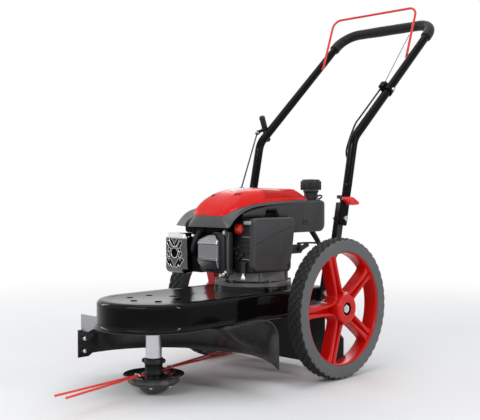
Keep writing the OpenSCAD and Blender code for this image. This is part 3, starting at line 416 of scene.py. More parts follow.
def settle(node, **sockets):
    """Sets a node's input sockets; an underscore in a name stands for a space."""
    for name, value in sockets.items():
        node.inputs[name.replace("_", " ")].default_value = value
    return node


def node(tree, kind, **sockets):
    """A new shader node with its input sockets set."""
    return settle(tree.nodes.new("ShaderNode" + kind), **sockets)


def wire(tree, *links):
    """Links given as a node, its output, another node and its input."""
    for source, output, target, socket in links:
        tree.links.new(source.outputs[output], target.inputs[socket])


def finish(name, colour, rough, metal=0.0, grain=500.0, bump=0.08, deep=0.3, vary=0.1, spread=0.14, coat=0.0,
           detail=3.0, shine=0.5):
    """Painted, moulded or metal surface: fine noise for bump and gloss, broad noise for the shade.
    deep is the bump's height in millimetres."""
    m = bpy.data.materials.new(name)
    m.use_nodes = True
    t = m.node_tree
    shader = settle(t.nodes["Principled BSDF"], Metallic=metal, Specular_IOR_Level=shine, Coat_Weight=coat,
                    Coat_Roughness=0.06)
    place = node(t, "TexCoord")
    fine = node(t, "TexNoise", Scale=grain, Detail=detail)
    broad = node(t, "TexNoise", Scale=16.0, Detail=2.0)
    gloss = node(t, "MapRange", From_Min=0.3, From_Max=0.7, To_Min=max(rough - spread / 2, 0.03),
                 To_Max=min(rough + spread / 2, 1.0))
    shade = node(t, "ValToRGB")
    for stop, at, share in zip(shade.color_ramp.elements, (0.3, 0.7), (1 - vary, 1 + vary)):
        stop.position = at
        stop.color = [min(c * share, 1) for c in colour] + [1]
    rise = node(t, "Bump", Strength=bump, Distance=deep * MM)
    wire(t, (place, "Object", fine, "Vector"), (place, "Object", broad, "Vector"), (fine, "Fac", gloss, "Value"),
         (gloss, "Result", shader, "Roughness"), (broad, "Fac", shade, "Fac"), (fine, "Fac", rise, "Height"),
         (rise, "Normal", shader, "Normal"), (shade, "Color", shader, "Base Color"))
    return m


deck_black = finish("deck_black_gloss", (0.003, 0.003, 0.0035), 0.08, grain=160, bump=0.02, spread=0.05, shine=0.12)
panel_black = finish("panel_black_satin", (0.003, 0.003, 0.0035), 0.14, grain=160, bump=0.02, spread=0.06, shine=0.06)
sheet_black = finish("sheet_black", (0.007, 0.0075, 0.008), 0.14, grain=200, bump=0.03, spread=0.08, shine=0.5)
tube_black = finish("tube_black", (0.004, 0.004, 0.005), 0.14, grain=350, bump=0.03, spread=0.06, shine=0.06)
black_plastic = finish("black_plastic", (0.009, 0.009, 0.01), 0.42, grain=1200, bump=0.15, deep=0.15, shine=0.35)
soft_black = finish("soft_black", (0.008, 0.008, 0.009), 0.6, grain=900, bump=0.2, deep=0.2, shine=0.3)
flap_grey = finish("flap_grey", (0.024, 0.025, 0.026), 0.62, grain=900, bump=0.2, deep=0.2, shine=0.3)
guard_satin = finish("guard_satin", (0.012, 0.0125, 0.0135), 0.3, grain=200, bump=0.03, spread=0.08, shine=0.5)
# Black for real black parts and the shroud's seam, and for painted shade in the wheel bores, on the stay's tongue and
# in the hood's slits.
deep_black = finish("deep_black", (0.003, 0.003, 0.003), 0.7, grain=900, bump=0.2, deep=0.2, shine=0.12)
cowl_grey = finish("cowl_grey", (0.052, 0.053, 0.056), 0.36, grain=1600, bump=0.12, deep=0.1, vary=0.05)
tank_grey = finish("tank_grey", (0.042, 0.043, 0.045), 0.46, grain=1600, bump=0.16, deep=0.12, vary=0.05, shine=0.35)
filter_grey = finish("filter_grey", (0.04, 0.041, 0.043), 0.46, grain=1800, bump=0.2, deep=0.12, vary=0.05, shine=0.4)
cover_red = finish("cover_red", (0.68, 0.009, 0.006), 0.28, grain=900, bump=0.04, deep=0.1, vary=0.03, shine=0.2)
# Darker copy of the hood's red for its mesh pits: painted shade.
pit_shade_red = finish("pit_shade_red", (0.17, 0.003, 0.002), 0.6, grain=900, bump=0.05, shine=0.1)
wheel_red = finish("wheel_red", (0.6, 0.007, 0.005), 0.26, grain=700, bump=0.04, deep=0.12, vary=0.04, shine=0.28)
wire_red = finish("wire_red", (0.72, 0.02, 0.014), 0.3, grain=700, bump=0.05, vary=0.05)
knob_red = finish("knob_red", (0.74, 0.016, 0.012), 0.36, grain=1100, bump=0.1, vary=0.05)
bulb_red = finish("bulb_red", (0.7, 0.014, 0.01), 0.2, grain=600, bump=0.03, vary=0.05, coat=0.2)
line_red = finish("line_red", (0.78, 0.06, 0.045), 0.36, grain=900, bump=0.1, vary=0.08)
tread_black = finish("tread_black", (0.013, 0.013, 0.014), 0.7, grain=800, bump=0.3, deep=0.4, vary=0.15, shine=0.35)
wall_grey = finish("wall_grey", (0.115, 0.118, 0.122), 0.6, grain=1000, bump=0.12, deep=0.2, vary=0.04, shine=0.3)
zinc = finish("zinc", (0.6, 0.6, 0.61), 0.3, metal=1.0, grain=700, bump=0.04, vary=0.05, spread=0.1)
stay_zinc = finish("stay_zinc", (0.36, 0.365, 0.375), 0.42, metal=0.9, grain=900, bump=0.06, vary=0.05, spread=0.1)
bright_steel = finish("bright_steel", (0.68, 0.68, 0.7), 0.28, metal=1.0, grain=500, bump=0.03, vary=0.04, spread=0.08)
spindle_steel = finish("spindle_steel", (0.6, 0.6, 0.635), 0.3, metal=1.0, grain=120, bump=0.005, vary=0.02,
                       spread=0.04)
wire_steel = finish("wire_steel", (0.2, 0.2, 0.21), 0.4, metal=1.0, grain=500, bump=0.03, vary=0.04)
# Lighter alloy of the head flange, which also serves as a painted highlight on the head's edge.
flange_highlight_alloy = finish("flange_highlight_alloy", (0.1, 0.1, 0.103), 0.36, metal=0.9, grain=900, bump=0.15, deep=0.2, vary=0.1)
tab_grey = finish("tab_grey", (0.055, 0.058, 0.058), 0.4, grain=900, bump=0.1, vary=0.06)
cast_alloy = finish("cast_alloy", (0.2, 0.2, 0.203), 0.44, metal=0.85, grain=900, bump=0.35, deep=0.3, vary=0.12)
dark_alloy = finish("dark_alloy", (0.03, 0.03, 0.032), 0.4, metal=0.6, grain=900, bump=0.3, deep=0.3)
valve_alloy = finish("valve_alloy", (0.27, 0.275, 0.285), 0.26, metal=1.0, grain=700, bump=0.05, deep=0.2, vary=0.05)
chrome = finish("chrome", (0.15, 0.15, 0.155), 0.15, metal=1.0, grain=180, bump=0.03, spread=0.08, vary=0.05)
# Bright chrome for the axle nuts and studs, and as a painted highlight on the silencer guard.
bright_chrome = finish("bright_chrome", (0.72, 0.72, 0.73), 0.1, metal=1.0, grain=180, bump=0.02, spread=0.06,
                       vary=0.04)
# Lightless black without gloss: painted shade for the deck's vent holes.
hole_shade_black = finish("hole_shade_black", (0.0004, 0.0004, 0.0004), 1.0, grain=600, bump=0.0, shine=0.0)
# Near-black matt finish of the silencer body behind the guard.
silencer_black = finish("silencer_black", (0.005, 0.005, 0.005), 0.6, grain=600, bump=0.3, shine=0.2)
ring_grey = finish("ring_grey", (0.014, 0.015, 0.0155), 0.35, grain=900, bump=0.12, vary=0.08)
dome_grey = finish("dome_grey", (0.045, 0.051, 0.051), 0.2, grain=900, bump=0.04, vary=0.06)
insert_grey = finish("insert_grey", (0.34, 0.345, 0.36), 0.3, grain=1200, bump=0.1)
foam_black = finish("foam_black", (0.007, 0.007, 0.0075), 0.45, grain=1500, bump=0.4, deep=0.4, detail=6, shine=0.22)
belt_rubber = finish("belt_rubber", (0.02, 0.02, 0.02), 0.8, grain=700, bump=0.3)

# Solids that stay in view as they are
NODE_FINISH = {
    sheet_black: "belt_plate guard_bracket post_left post_right engine_plate",
    flap_grey: "rear_flap",
    bulb_red: "primer_bulb",
    zinc: "frame_bolts",
    spindle_steel: "spindle_housing",
    bright_chrome: "axle_nuts",
    bright_steel: "spindle_shaft spindle_bearings crankshaft axle axle_spacers rope_guide",
    cast_alloy: "driven_pulley drive_pulley",
    dark_alloy: "cylinder_block brake_lever",
    silencer_black: "muffler_body",
    ring_grey: "axle_bushes",
    tube_black: "cable_clamp",
    belt_rubber: "drive_belt",
}
for material, names in NODE_FINISH.items():
    for n in names.split():
        NODES[n].data.materials.clear()
        NODES[n].data.materials.append(material)


# Camera and cords

def camera():
    """The photograph's view: an eye 0.47 m up, turned 43.8 degrees round from the front."""
    data = bpy.data.cameras.new("camera")
    data.sensor_fit = "HORIZONTAL"
    data.sensor_width = 36.0
    data.lens = 63.83
    data.clip_end = 60.0
    data.dof.use_dof = False
    obj = bpy.data.objects.new("camera", data)
    obj.location = (1.5230, -1.6359, 0.4703)
    obj.rotation_euler = (math.radians(90 - 1.187), 0.0, math.radians(43.804))
    bpy.context.scene.collection.objects.link(obj)
    bpy.context.scene.camera = obj


camera()

BAIL_Y, BAIL_Z = on_upper([0, 0, BAIL_AT])[1:]


def cord_piece(name, path, r, finish_, node, bodies=None, **facts):
    """A cord as a round tube along its route; where it crosses a joint, given two bodies, it rides on neither and keeps
    its place in the world.
    """
    obj = piece(name, tube(path, r, 14), finish_, [node], rides=not bodies)
    if bodies:
        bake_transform(obj)
    return obj


rope_path = np.linspace([-14, -27.016, 483.9], on_upper([22, -16, 28], -1), 24)
cord_piece("starter_cord", rope_path, 2.0, soft_black, "starter_rope", ("chassis", "handle"),
           stiffness="limp", lay="taut")
wire_foot = on_upper([-12, -15, CLAMP_AT + 20.5])
wire_top = np.array([BAIL_X - 6.5, BAIL_Y, BAIL_Z]) + leaned([0, 0, 78], BAIL_LEAN)
cord_piece("bail_wire", np.linspace(wire_foot, wire_top, 20), 1.25, wire_steel, "cable_wire",
           ("handle", "bail_bar"), stiffness="stiff", lay="taut")
sheath_path = smooth_line(np.vstack([
    on_upper([[-12, -15, CLAMP_AT + 20], [-12, -15, 190], [-12, -15, 150], [-12, -15, 110], [-13, -14.5, 75],
              [-16, -10, 42]]),
    on_leg([[-18, -1, 188], [-17, 8, 160], [-15, 13, 130]])]), 5)
cord_piece("cable_upper", sheath_path, 2.5, soft_black, "cable_sheath", stiffness="medium", lay="taut")
lower_path = smooth_line(np.vstack([
    on_leg([[-15, 13, 129], [-16, 15.5, 100], [-18, 17, 70], [-18, 17.5, 35], [-18, 17.5, 0], [-20, 17, -30]]),
    on_engine([[143, 177, 124], [124, 177, 112], [98, 174, 110.6], [75, 166, 110.6], [58.5, 152, 110.6],
               [55, 134, 110.6], [55, 116, 110.6]])]), 4)
cord_piece("cable_to_brake", lower_path[::-1], 2.5, soft_black, "cable_lower", ("chassis", "handle"),
           stiffness="medium", lay="hanging")


# Wheels

def on_wheel(v, side):
    """Wheel points (radius along Y, up, axle outwards) on one end of the axle."""
    return (sided(v) + [WHEEL_X, AXLE[1], AXLE[2]]) * [side, 1, 1]


def tyre_skin(lugs=48, per_lug=24, crown=36, depth=2.7, slant=0.055, groove=0.1, half=20.4):
    """Tyre: a closed section turned round the axle, with grooves cut where either of two slanted waves,
    lugs times the angle plus or minus slant times the distance across, is near a whole number."""
    across = np.linspace(-half, half, crown)
    wall = np.array([[-15.5, 149.4], [-15.5, 144.6], [-17.5, 143.1], [-20, 143.3], [-21.4, 145], [-21.9, 151],
                     [-22, 163], [-21.9, 168], [-21.6, 171.2]])
    x = np.concatenate([wall[:, 0], across, -wall[::-1, 0]])
    r = np.concatenate([wall[:, 1], 177.9 - 3.6 * (across / half) ** 4, wall[::-1, 1]])
    cut = np.concatenate([np.zeros(8), [0.6], np.ones(crown), [0.6], np.zeros(8)])
    a = np.linspace(0, TAU, lugs * per_lug, endpoint=False)[:, None]
    one = lugs * a / TAU + slant * x[None, :]
    two = lugs * a / TAU - slant * x[None, :]
    near = np.minimum(np.abs(one - np.round(one)), np.abs(two - np.round(two)))
    trench = 1 - np.clip((near - groove * 0.75) / (groove * 0.5), 0, 1)
    rr = r[None, :] - depth * cut[None, :] * trench
    grid = np.stack([rr * np.cos(a), rr * np.sin(a), x[None, :] + 0 * a], axis=-1)
    return surface(grid, wrap_rows=True, wrap_columns=True)


def spoke_skin():
    """Spoke: a channelled section, two flat ridges beside a sunk middle, carried out along the radius
    and widened where it runs into the hub and the rim; the sunk middle narrows and rises to the rim."""
    face = 13.2
    half = np.array([[1.0, -17], [1.0, -6], [1.0, 7], [0.99, 10.4], [0.95, 12.2], [0.88, 13], [0.8, face],
                     [0.545, face], [0.5, 12.9], [0.46, 11.6], [0.32, -2], [0.2, -6]])
    loop = np.vstack([half, half[::-1] * [-1, 1], [[-0.6, -17], [0.6, -17]]])
    rho = np.concatenate([np.linspace(30, 48, 10), np.linspace(52, 118, 12), np.linspace(122, 140, 10)])
    wide = 14 + 6 * np.exp(-(rho - 34) / 6) + 8 * np.exp(-(140 - rho) / 6)
    out = ((rho - 30) / 110)[:, None]
    sunk = np.abs(loop[None, :, 0]) < 0.55
    s = wide[:, None] * loop[None, :, 0] * np.where(sunk, 1.35 - 1.05 * out, 1)
    lift = 1.5 * np.exp(-(rho - 34) / 8)
    x = np.where(sunk, face - (face - loop[None, :, 1]) * (1 - 0.6 * out), loop[None, :, 1]) + lift[:, None]
    return surface(np.stack([rho[:, None] + 0 * s, s, x], axis=-1), wrap_columns=True, caps=True)


def rim_skin():
    """Wheel: drum and hub turned round the axle, and five spokes."""
    drum = revolved([[148.8, 14.6], [148.8, -14.6], [142.6, -15], [142.5, -20], [141.6, -21.2], [140.2, -21.2],
                     [139, -19.6], [138.4, -12], [138.2, 4], [138.8, 13], [140, 17.5], [141.5, 19.6], [142.6, 19.4],
                     [142.8, 15.2], [147, 15.2]], 120)
    hub = revolved([[8.4, -24], [34, -24], [36.4, -22.5], [37, -20], [37, 22], [36.6, 25], [35.4, 27.4], [33, 28.8],
                    [30, 29], [19.5, 29], [17.2, 28.4], [16, 26.8], [15.4, 24], [15.2, 15.6], [8.4, 15.6]], 64)
    return join(drum, hub, ringed(spoke_skin(), 180 + 72 * np.arange(5)))


def off_axle(m):
    """Distances of face middles from the axle's line."""
    return np.hypot(m[:, 1] - AXLE[1], m[:, 2] - AXLE[2])


def on_wall(m):
    """Face middles on the plain walls of a tyre."""
    r = off_axle(m)
    return ((np.abs(np.abs(m[:, 0]) - WHEEL_X) > 20.7) | (r < 149)) & (r < 173.2)


def shaded_bore(m):
    """Face middles in the bore round an axle nut, whose red walls take black as painted shade."""
    return (off_axle(m) < 15.9) & (np.abs(m[:, 0]) > 231.5) & (np.abs(m[:, 0]) < 243.5)


tyre_shape, rim_shape = tyre_skin(), rim_skin()
# Each wheel's bore round its axle nut is black: painted shade in the recess of the red hub.
for side, name in ((1, "left"), (-1, "right")):
    piece("tread_" + name, moved(tyre_shape, lambda v: on_wheel(v, side)), tread_black, ["tyre_" + name],
          angle=30, second=(wall_grey, on_wall))
    piece("wheel_" + name, moved(rim_shape, lambda v: on_wheel(v, side)), wheel_red, ["wheel_rim_" + name],
          second=(deep_black, shaded_bore))


# Engine shroud: a red hood, and a grey skirt from the hood's rim down to a lower edge

HOOD_RIM = smooth_line([
    [6, -174, 192.6], [36, -174, 192], [54, -172, 191.8], [63, -162, 195.5], [68, -146, 202.5], [72, -128, 209],
    [76, -85, 218], [78, -26, 223], [78, 58, 227], [77, 112, 229.6], [72, 134, 230.4], [58, 144, 230.2], [8, 147, 229],
    [-40, 144, 228], [-55, 134, 227], [-60, 112, 226], [-61, 40, 222], [-61, -40, 217], [-60, -100, 211],
    [-57, -140, 204], [-50, -165, 196], [-36, -173, 193]], 8, closed=True)
SKIRT_EDGE = smooth_line([
    [6, -178, 161.4], [40, -178, 161.5], [68, -177.5, 161.5], [82, -173, 163], [86, -158, 181], [86.5, -128, 199],
    [86, -86, 210.5], [84, -28, 216], [82, 56, 220], [79.5, 112, 223], [74, 136, 224], [58, 146, 224], [8, 149, 222],
    [-42, 146, 216], [-72, 134, 205], [-112, 80, 178], [-132, -10, 164], [-140, -90, 163], [-135, -148, 162.4],
    [-94, -169, 161.4], [-66, -175, 161], [-38, -177, 161.2]], 8, closed=True)
HOOD_MIDDLE = np.array([8.0, -14.0, 259.0])
SEAM_AT = 160


def outward(rim):
    """Level unit vectors from the hood's middle to points of its rim."""
    return np.column_stack([unit(rim[:, :2] - HOOD_MIDDLE[:2]), np.zeros(len(rim))])


def hood_height(xy):
    """Height of the red hood: each ray from its middle to its rim stays level and then falls, by (1 - u^p)^q
    to the front and sides and by a straight bevel to the back."""
    d = xy - HOOD_MIDDLE[:2]
    angle = np.arctan2(d[..., 1], d[..., 0])
    around = HOOD_RIM[:, :2] - HOOD_MIDDLE[:2]
    rim_angle = np.arctan2(around[:, 1], around[:, 0])
    reach = np.interp(angle, rim_angle, np.linalg.norm(around, axis=1), period=TAU)
    rim = np.interp(angle, rim_angle, HOOD_RIM[:, 2], period=TAU)
    u = np.minimum(np.linalg.norm(d, axis=-1) / reach, 1)
    ahead = np.clip(-np.sin(angle), 0, 1) ** 1.5
    behind = eased_step(np.sin(angle), 0.72, 0.95)
    round_fall = (1 - u ** (4.2 - 1.5 * ahead)) ** (0.68 + 0.08 * ahead)
    bevel = 1 - np.clip((u - 0.74) / 0.26, 0, 1) ** 1.15
    top = HOOD_MIDDLE[2] - 3.0 * np.clip(xy[..., 1] / 130, 0, 1) ** 2 - 0.8 * (xy[..., 0] / 60) ** 2
    return rim + (top - rim) * (round_fall * (1 - behind) + bevel * behind)


def hood_skin(rings=40):
    """Red hood: rays from the middle to the rim, lifted to the hood's height; the rim turns down by a small lip
    and closes underneath."""
    rim, out = HOOD_RIM, outward(HOOD_RIM)
    u = np.sin(np.linspace(0.0, 1.0, rings) * math.pi / 2)[1:, None, None]
    xy = HOOD_MIDDLE[:2] + u * (rim[:, :2] - HOOD_MIDDLE[:2])[None]
    grid = np.concatenate([xy, hood_height(xy)[..., None]], axis=-1)
    grid[-1] = rim
    lip = [rim + out * wide - [0, 0, drop] for wide, drop in ((0.8, 0.8), (0.9, 2.4), (0, 3), (-6, 3))]
    return surface(np.concatenate([grid, lip]), wrap_columns=True, caps=True)


def skirt_skin(rings=20):
    """Grey skirt: straight lines from the hood's rim to the lower edge, pushed out by a half wave that is
    strongest over the silencer; one column sinks in as a seam and winds a little on its way down."""
    rim, edge = HOOD_RIM - [0, 0, 1.5], SKIRT_EDGE
    toward = outward(rim)
    t = np.linspace(0, 1, rings)[:, None]
    column = np.arange(len(rim))
    away = np.abs(column - SEAM_AT)
    wound = column + 1.6 * np.sin(TAU * t) * np.exp(-(away / 8.0) ** 2)

    def carried(line):
        """A line's points at the wound columns."""
        return np.stack([np.interp(wound, column, line[:, k], period=len(rim)) for k in range(3)], axis=-1)

    top, foot, aim = carried(rim), carried(edge), carried(toward)
    span = np.linalg.norm(foot - top, axis=-1, keepdims=True)
    out = aim * 0.6 + np.array([0, 0, 0.8])
    bulge = np.clip(span - 36, 0, 80) * 0.2 + span * 0.04
    sunk = (2.2 * (away < 2.1) * np.sin(math.pi * np.clip(t, 0.02, 0.98)) ** 0.2)[..., None]
    grid = top + t[..., None] * (foot - top) + out * np.sin(math.pi * t)[..., None] * bulge - out * sunk
    tucked = [edge - toward * 2.4 - [0, 0, 0.4], edge - toward * 4 + [0, 0, 6], rim - toward * 9 - [0, 0, 2]]
    return surface(np.concatenate([[rim - toward * 4], grid, tucked]), wrap_columns=True, caps=True)


def hood_point(share, rim):
    """Points of the hood on the rays to points of its rim, at a share of each ray's length."""
    xy = HOOD_MIDDLE[:2] + share * (rim[:, :2] - HOOD_MIDDLE[:2])
    return np.column_stack([xy, hood_height(xy)])


def pit_row(share, first, pitch=10.0, r=2.4):
    """Row of small discs lying on the hood's left flank, along a line at a share of the way to its rim; their darker
    red is painted shade in the flank's pierced mesh.
    """
    left = HOOD_RIM[(HOOD_RIM[:, 0] > 60) & (HOOD_RIM[:, 1] > -120)]
    left = left[np.argsort(left[:, 1])]
    y = np.arange(first, 128, pitch)
    rim, beyond = (np.column_stack([np.interp(v, left[:, 1], left[:, 0]), v]) for v in (y, y + 1))
    middle = hood_point(share, rim)
    along, down = unit(hood_point(share, beyond) - middle), unit(hood_point(share + 0.004, rim) - middle)
    out = np.cross(down, along)
    a = np.linspace(0, TAU, 10, endpoint=False)[None, :, None]
    edge = middle[:, None] + r * (np.cos(a) * along[:, None] + np.sin(a) * down[:, None])
    discs = np.stack([edge - 0.6 * out[:, None], edge + 0.25 * out[:, None]], axis=1)
    return join(*[surface(d, wrap_columns=True, caps=True) for d in discs])


def seam_cells(m, rings=20):
    """Faces of the skirt that lie in the seam, by their number in the grid."""
    row, column = np.divmod(np.arange(len(m)), len(HOOD_RIM))
    return (np.abs(column + 0.5 - SEAM_AT) < 2) & (row > 0) & (row < rings)


piece("hood", moved(hood_skin(), on_engine), cover_red, ["top_cover"], angle=50)
# Rows of darker red discs over the flank: painted shade in the mesh's pits.
pit_shade_rows = [pit_row(share, -34 + 5 * (k % 2)) for k, share in enumerate((0.7, 0.785, 0.855, 0.91, 0.952))]
piece("hood_pit_shade", moved(join(*pit_shade_rows), on_engine), pit_shade_red, angle=20)
piece("shroud", moved(skirt_skin(), on_engine), cowl_grey, ["cowl"], angle=50,
      second=(deep_black, seam_cells))


def oval_on_hood(middle, half, proud):
    """Oval plate lying on the hood: rings about its middle at the hood's height, with a rounded edge."""
    a = np.linspace(0, TAU, 48, endpoint=False)
    share = np.array([0.02, 0.3, 0.6, 0.85, 0.94, 0.98, 1.0, 1.0])[:, None, None]
    rise = np.array([1, 1, 1, 1, 0.92, 0.7, 0.3, -1.5])[:, None]
    xy = np.asarray(middle) + share * np.stack([half[0] * np.cos(a), half[1] * np.sin(a)], axis=-1)[None]
    grid = np.concatenate([xy, (hood_height(xy) + rise * proud)[..., None]], axis=-1)
    return surface(grid, wrap_columns=True, caps=True)


piece("starter_plate", moved(oval_on_hood([14, -64], [22, 36], 1.0), on_engine), insert_grey, ["starter_insert"],
      angle=50)
# Four vent slits on the hood are drawn as thin black ovals on its surface: the black is painted shade inside the
# openings.
slit_shades = [oval_on_hood([x, y], [2.2, 6], 0.4) for x, y in ((-26, -122), (-19, -126), (46, -112), (51, -104))]
piece("hood_slit_shade", moved(join(*slit_shades), on_engine), deep_black)


def lofted_box(stations, steps=8):
    """Rounded rectangles (place, x0, x1, z0, z1, corner) set one behind another along Y."""
    rows = [np.insert(rounded_rectangle((x0, z0), (x1, z1), r, steps), 1, y, axis=1)
            for y, x0, x1, z0, z1, r in stations]
    return surface(np.stack(rows), wrap_columns=True, caps=True)


def soft_box(low, high, r=3.0):
    """Box with rounded edges: a rounded rectangle whose ends draw in by a quarter circle."""
    (x0, y0, z0), (x1, y1, z1) = low, high
    a = np.linspace(math.pi / 2, 0, 5)
    ends = list(zip(y0 + r * (1 - np.sin(a)), r * (1 - np.cos(a))))
    rows = ends + [(y0 + y1 - y, p) for y, p in ends[::-1]]
    return lofted_box([(y, x0 + p, x1 - p, z0 + p, z1 - p, max(r - p * 0.6, 0.4)) for y, p in rows], 5)


def tank_skin(right=-36.0, left=80.5, rear=186.0, bulge=21.4):
    """Tank: sections along the machine, shallow over the air cleaner with a notch in its lower edge, deep behind,
    with round ends."""
    y = np.concatenate([[-112, -111, -108], np.linspace(-102, -46, 8), [-42, -39.5, -37], np.linspace(-30, 0, 4),
                        [3, 7.5, 12], np.linspace(17, 36, 4), np.linspace(42, 84, 12), np.linspace(96, 180, 8)])
    notch = np.interp(y, [-42, -37, 3, 12], [0, 1, 1, 0])
    low = 184 - 43 * eased_step(y, 38, 78) + 17 * notch
    high = np.interp(y, [-112, -85, -50, 0, 60, 205], [196, 206, 212, 219.5, 224.5, 227])
    r = np.minimum(8, (high - low) / 2 - 0.5)
    rows = list(zip(y, right + 0 * y, np.interp(y, [-112, -60], [72, left]), low, high, r))
    end = rear + np.array([0, 5, 10, 14.5, 18, 20.3, 21.2])
    pull = bulge - np.sqrt(np.maximum(bulge ** 2 - (end - rear) ** 2, 0))
    rows += [(a, right + b, left - b * 0.32, 141 + b * 0.95, 226.6 - b * 0.3, 8) for a, b in zip(end, pull)]
    return lofted_box(rows)


neck = shifted(spun([[27, 222], [26, 227], [23, 228.4], [19.5, 231], [18.8, 236], [18.8, 246], [21, 248], [21, 252.6],
                     [20, 253.2]], 40), CAP_AT)
piece("tank", moved(join(tank_skin(), neck), on_engine), tank_grey, ["fuel_tank"], angle=40,
      second=(black_plastic, lambda m: m[:, 2] - ENGINE[2] > 227.2))
latch = join(soft_box([80.2, 109, 162], [81.2, 111.4, 180], 0.4), soft_box([80.2, 109, 162], [81.2, 136, 164], 0.4),
             soft_box([80.2, 117, 168], [81.6, 130, 173], 0.6))
piece("tank_latch", moved(latch, on_engine), black_plastic)
tether = revolved(np.array([9.5, 0]) + round_section(2.3, 12), 32)
piece("cap_tether", moved(tether, lambda v: on_engine(leaned(v, -35) + [62, 197, 233.5])), black_plastic)


def cap_skin(lobes=14):
    """Fuel cap: an outline whose radius waves round it, with rounded rims, and a low dome on top."""
    a = np.linspace(0, TAU, 168, endpoint=False)
    r = 27.6 + 1.3 * np.tanh(2.2 * np.cos(lobes * a))
    skirt = slab(round_section(r, len(a)), 253.5, 278, 2.2)
    return join(skirt, spun([[25, 277], [25, 279.6], [24, 281.6], [21, 283], [8, 283.4]], 48))


piece("cap", moved(shifted(cap_skin(), CAP_AT), on_engine), black_plastic, ["fuel_cap"])


# Engine front: air cleaner, intake, cylinder head, silencer

def filter_face(a, b):
    """Air-cleaner face: crowned, stepped back below a slanted crease, sloped away past a diagonal low at the rear,
    with an upright groove below the crease."""
    crease = np.interp(a, [-79, 12, 71], [0, 31, 45.6])
    below = np.clip((crease - b) / 2.4, 0, 1)
    past = (a - 71) * 0.79 - (b - 30) * 0.61
    ramp = np.clip((past + 4) / 50, 0, 1) ** 1.4
    groove = np.exp(-((a - 21 + 0.004 * np.minimum(b - 2, 0) ** 2) / 1.5) ** 2) * (b < crease) * (b > -21)
    return 119.4 - 0.00012 * a ** 2 - 0.00016 * b ** 2 - 1.6 * below - 11.0 * ramp * below - 2.2 * groove


def filter_place(v):
    """Air-cleaner points (along Y, up, out) on the left of the engine; the lower edge drops to the rear."""
    drop = np.where(v[:, 1] < 0, 0.97 + 0.15 * (v[:, 0] + 77) / 154, 1.0)
    return on_engine(np.stack([v[:, 2], v[:, 0] - 45, v[:, 1] * drop + 118], axis=1))


piece("air_cleaner", moved(faced_block(77, 66, 13, filter_face, 102, 5, (150, 120)), filter_place),
      filter_grey, ["filter_cover"], angle=60)

intake = join(soft_box([45, -121, 48], [108, -48, 182], 4), soft_box([76, -60, 56], [108, 26, 180], 4))
bezel = moved(revolved(np.array([16.4, 0]) + round_section(2.0, 12), 40), lambda v: v[:, [0, 2, 1]] + [66, -121, 157])
piece("intake", moved(join(intake, bezel), on_engine), black_plastic, ["intake_box"])


def intake_bar(x, z, wide):
    """Thin level rib on the front of the intake."""
    return soft_box([x, -122.4, z], [x + wide, -120.5, z + 2.0], 0.8)


piece("intake_bars", moved(join(*[intake_bar(74, z, 31) for z in (66, 97, 110, 123, 148)]), on_engine), black_plastic)
# Two of the intake's ribs and its top cap are light grey while the other ribs are black: painted highlights where light
# catches them.
ribs = join(intake_bar(77, 81.4, 26), intake_bar(77, 136.6, 26), soft_box([84, -126, 168], [107, -119, 177], 2))
piece("intake_rib_highlights", moved(ribs, on_engine), insert_grey)

bowl = shifted(spun([[5, 34], [6.5, 36], [7, 40], [7, 70], [8.6, 71], [8.6, 75], [7.5, 76]], 32), [84, -125, 0])
lever = slab(rounded_rectangle((-16, -4), (16, 4), 3.9), 0, 2, 0.6)
arms = [moved(lever, lambda v: fronted(v @ [[c, d, 0], [-d, c, 0], [0, 0, 1]]) + [x, -121.5, z])
        for x, z, c, d in ((58, 96, 0.6, -0.8), (64, 88, 0.94, 0.34), (54, 106, 0.9, 0.44))]
pins = shifted(moved(spun([[4.5, 0], [4.5, 3], [3.6, 4.4], [1, 4.6]], 20), fronted),
               *[[x, -122.5, z] for x, z in ((49, 108), (67, 84), (78, 93), (60, 96))])
piece("carburettor", moved(join(bowl, *arms, pins), on_engine), dark_alloy)
drain = shifted(spun([[3, 0], [6.4, 1], [6.8, 5], [5, 9], [4, 12], [4, 16]], 24), [86, -128, 32])
piece("drain_screw", moved(drain, on_engine), zinc)


def valve_face(a, b):
    """Valve-cover face: a sunk band between two ridges, with facets that slope away above and below."""
    band = eased_step(b, 80, 82) - eased_step(b, 116, 118)
    ridges = 1.6 * np.exp(-((b - 79) / 1.8) ** 2) + 1.0 * np.exp(-((b - 119) / 1.6) ** 2)
    return 16 - 1.6 * band + ridges - 0.42 * np.maximum(b - 121, 0) - 0.34 * np.maximum(76 - b, 0)


def facing_front(v):
    """Points (X, up, out) of a piece on the front of the cylinder head."""
    return on_engine(fronted(v) + [0, -150, 0])


levels = np.concatenate([[52, 52.6, 54], np.linspace(56, 140, 76), [142, 143.4, 144]])
cover = faced_plate(levels, np.interp(levels, [52, 69, 128, 144], [-15, -38, -38, 6]),
                    np.interp(levels, [52, 58, 130, 142, 144], [26, 30, 30, 19, 13]), valve_face, -2, 2.4, 44)
piece("valve_cover_cast", moved(cover, facing_front), valve_alloy, ["valve_cover"], angle=30)
head_outline = np.array([[-42, 56], [-30, 47], [34, 47], [44, 52], [44, 142], [34, 148], [-16, 141], [-42, 132]], float)
piece("head_cast", moved(slab(head_outline, -24, 4, 2), facing_front), dark_alloy, ["cylinder_head"])
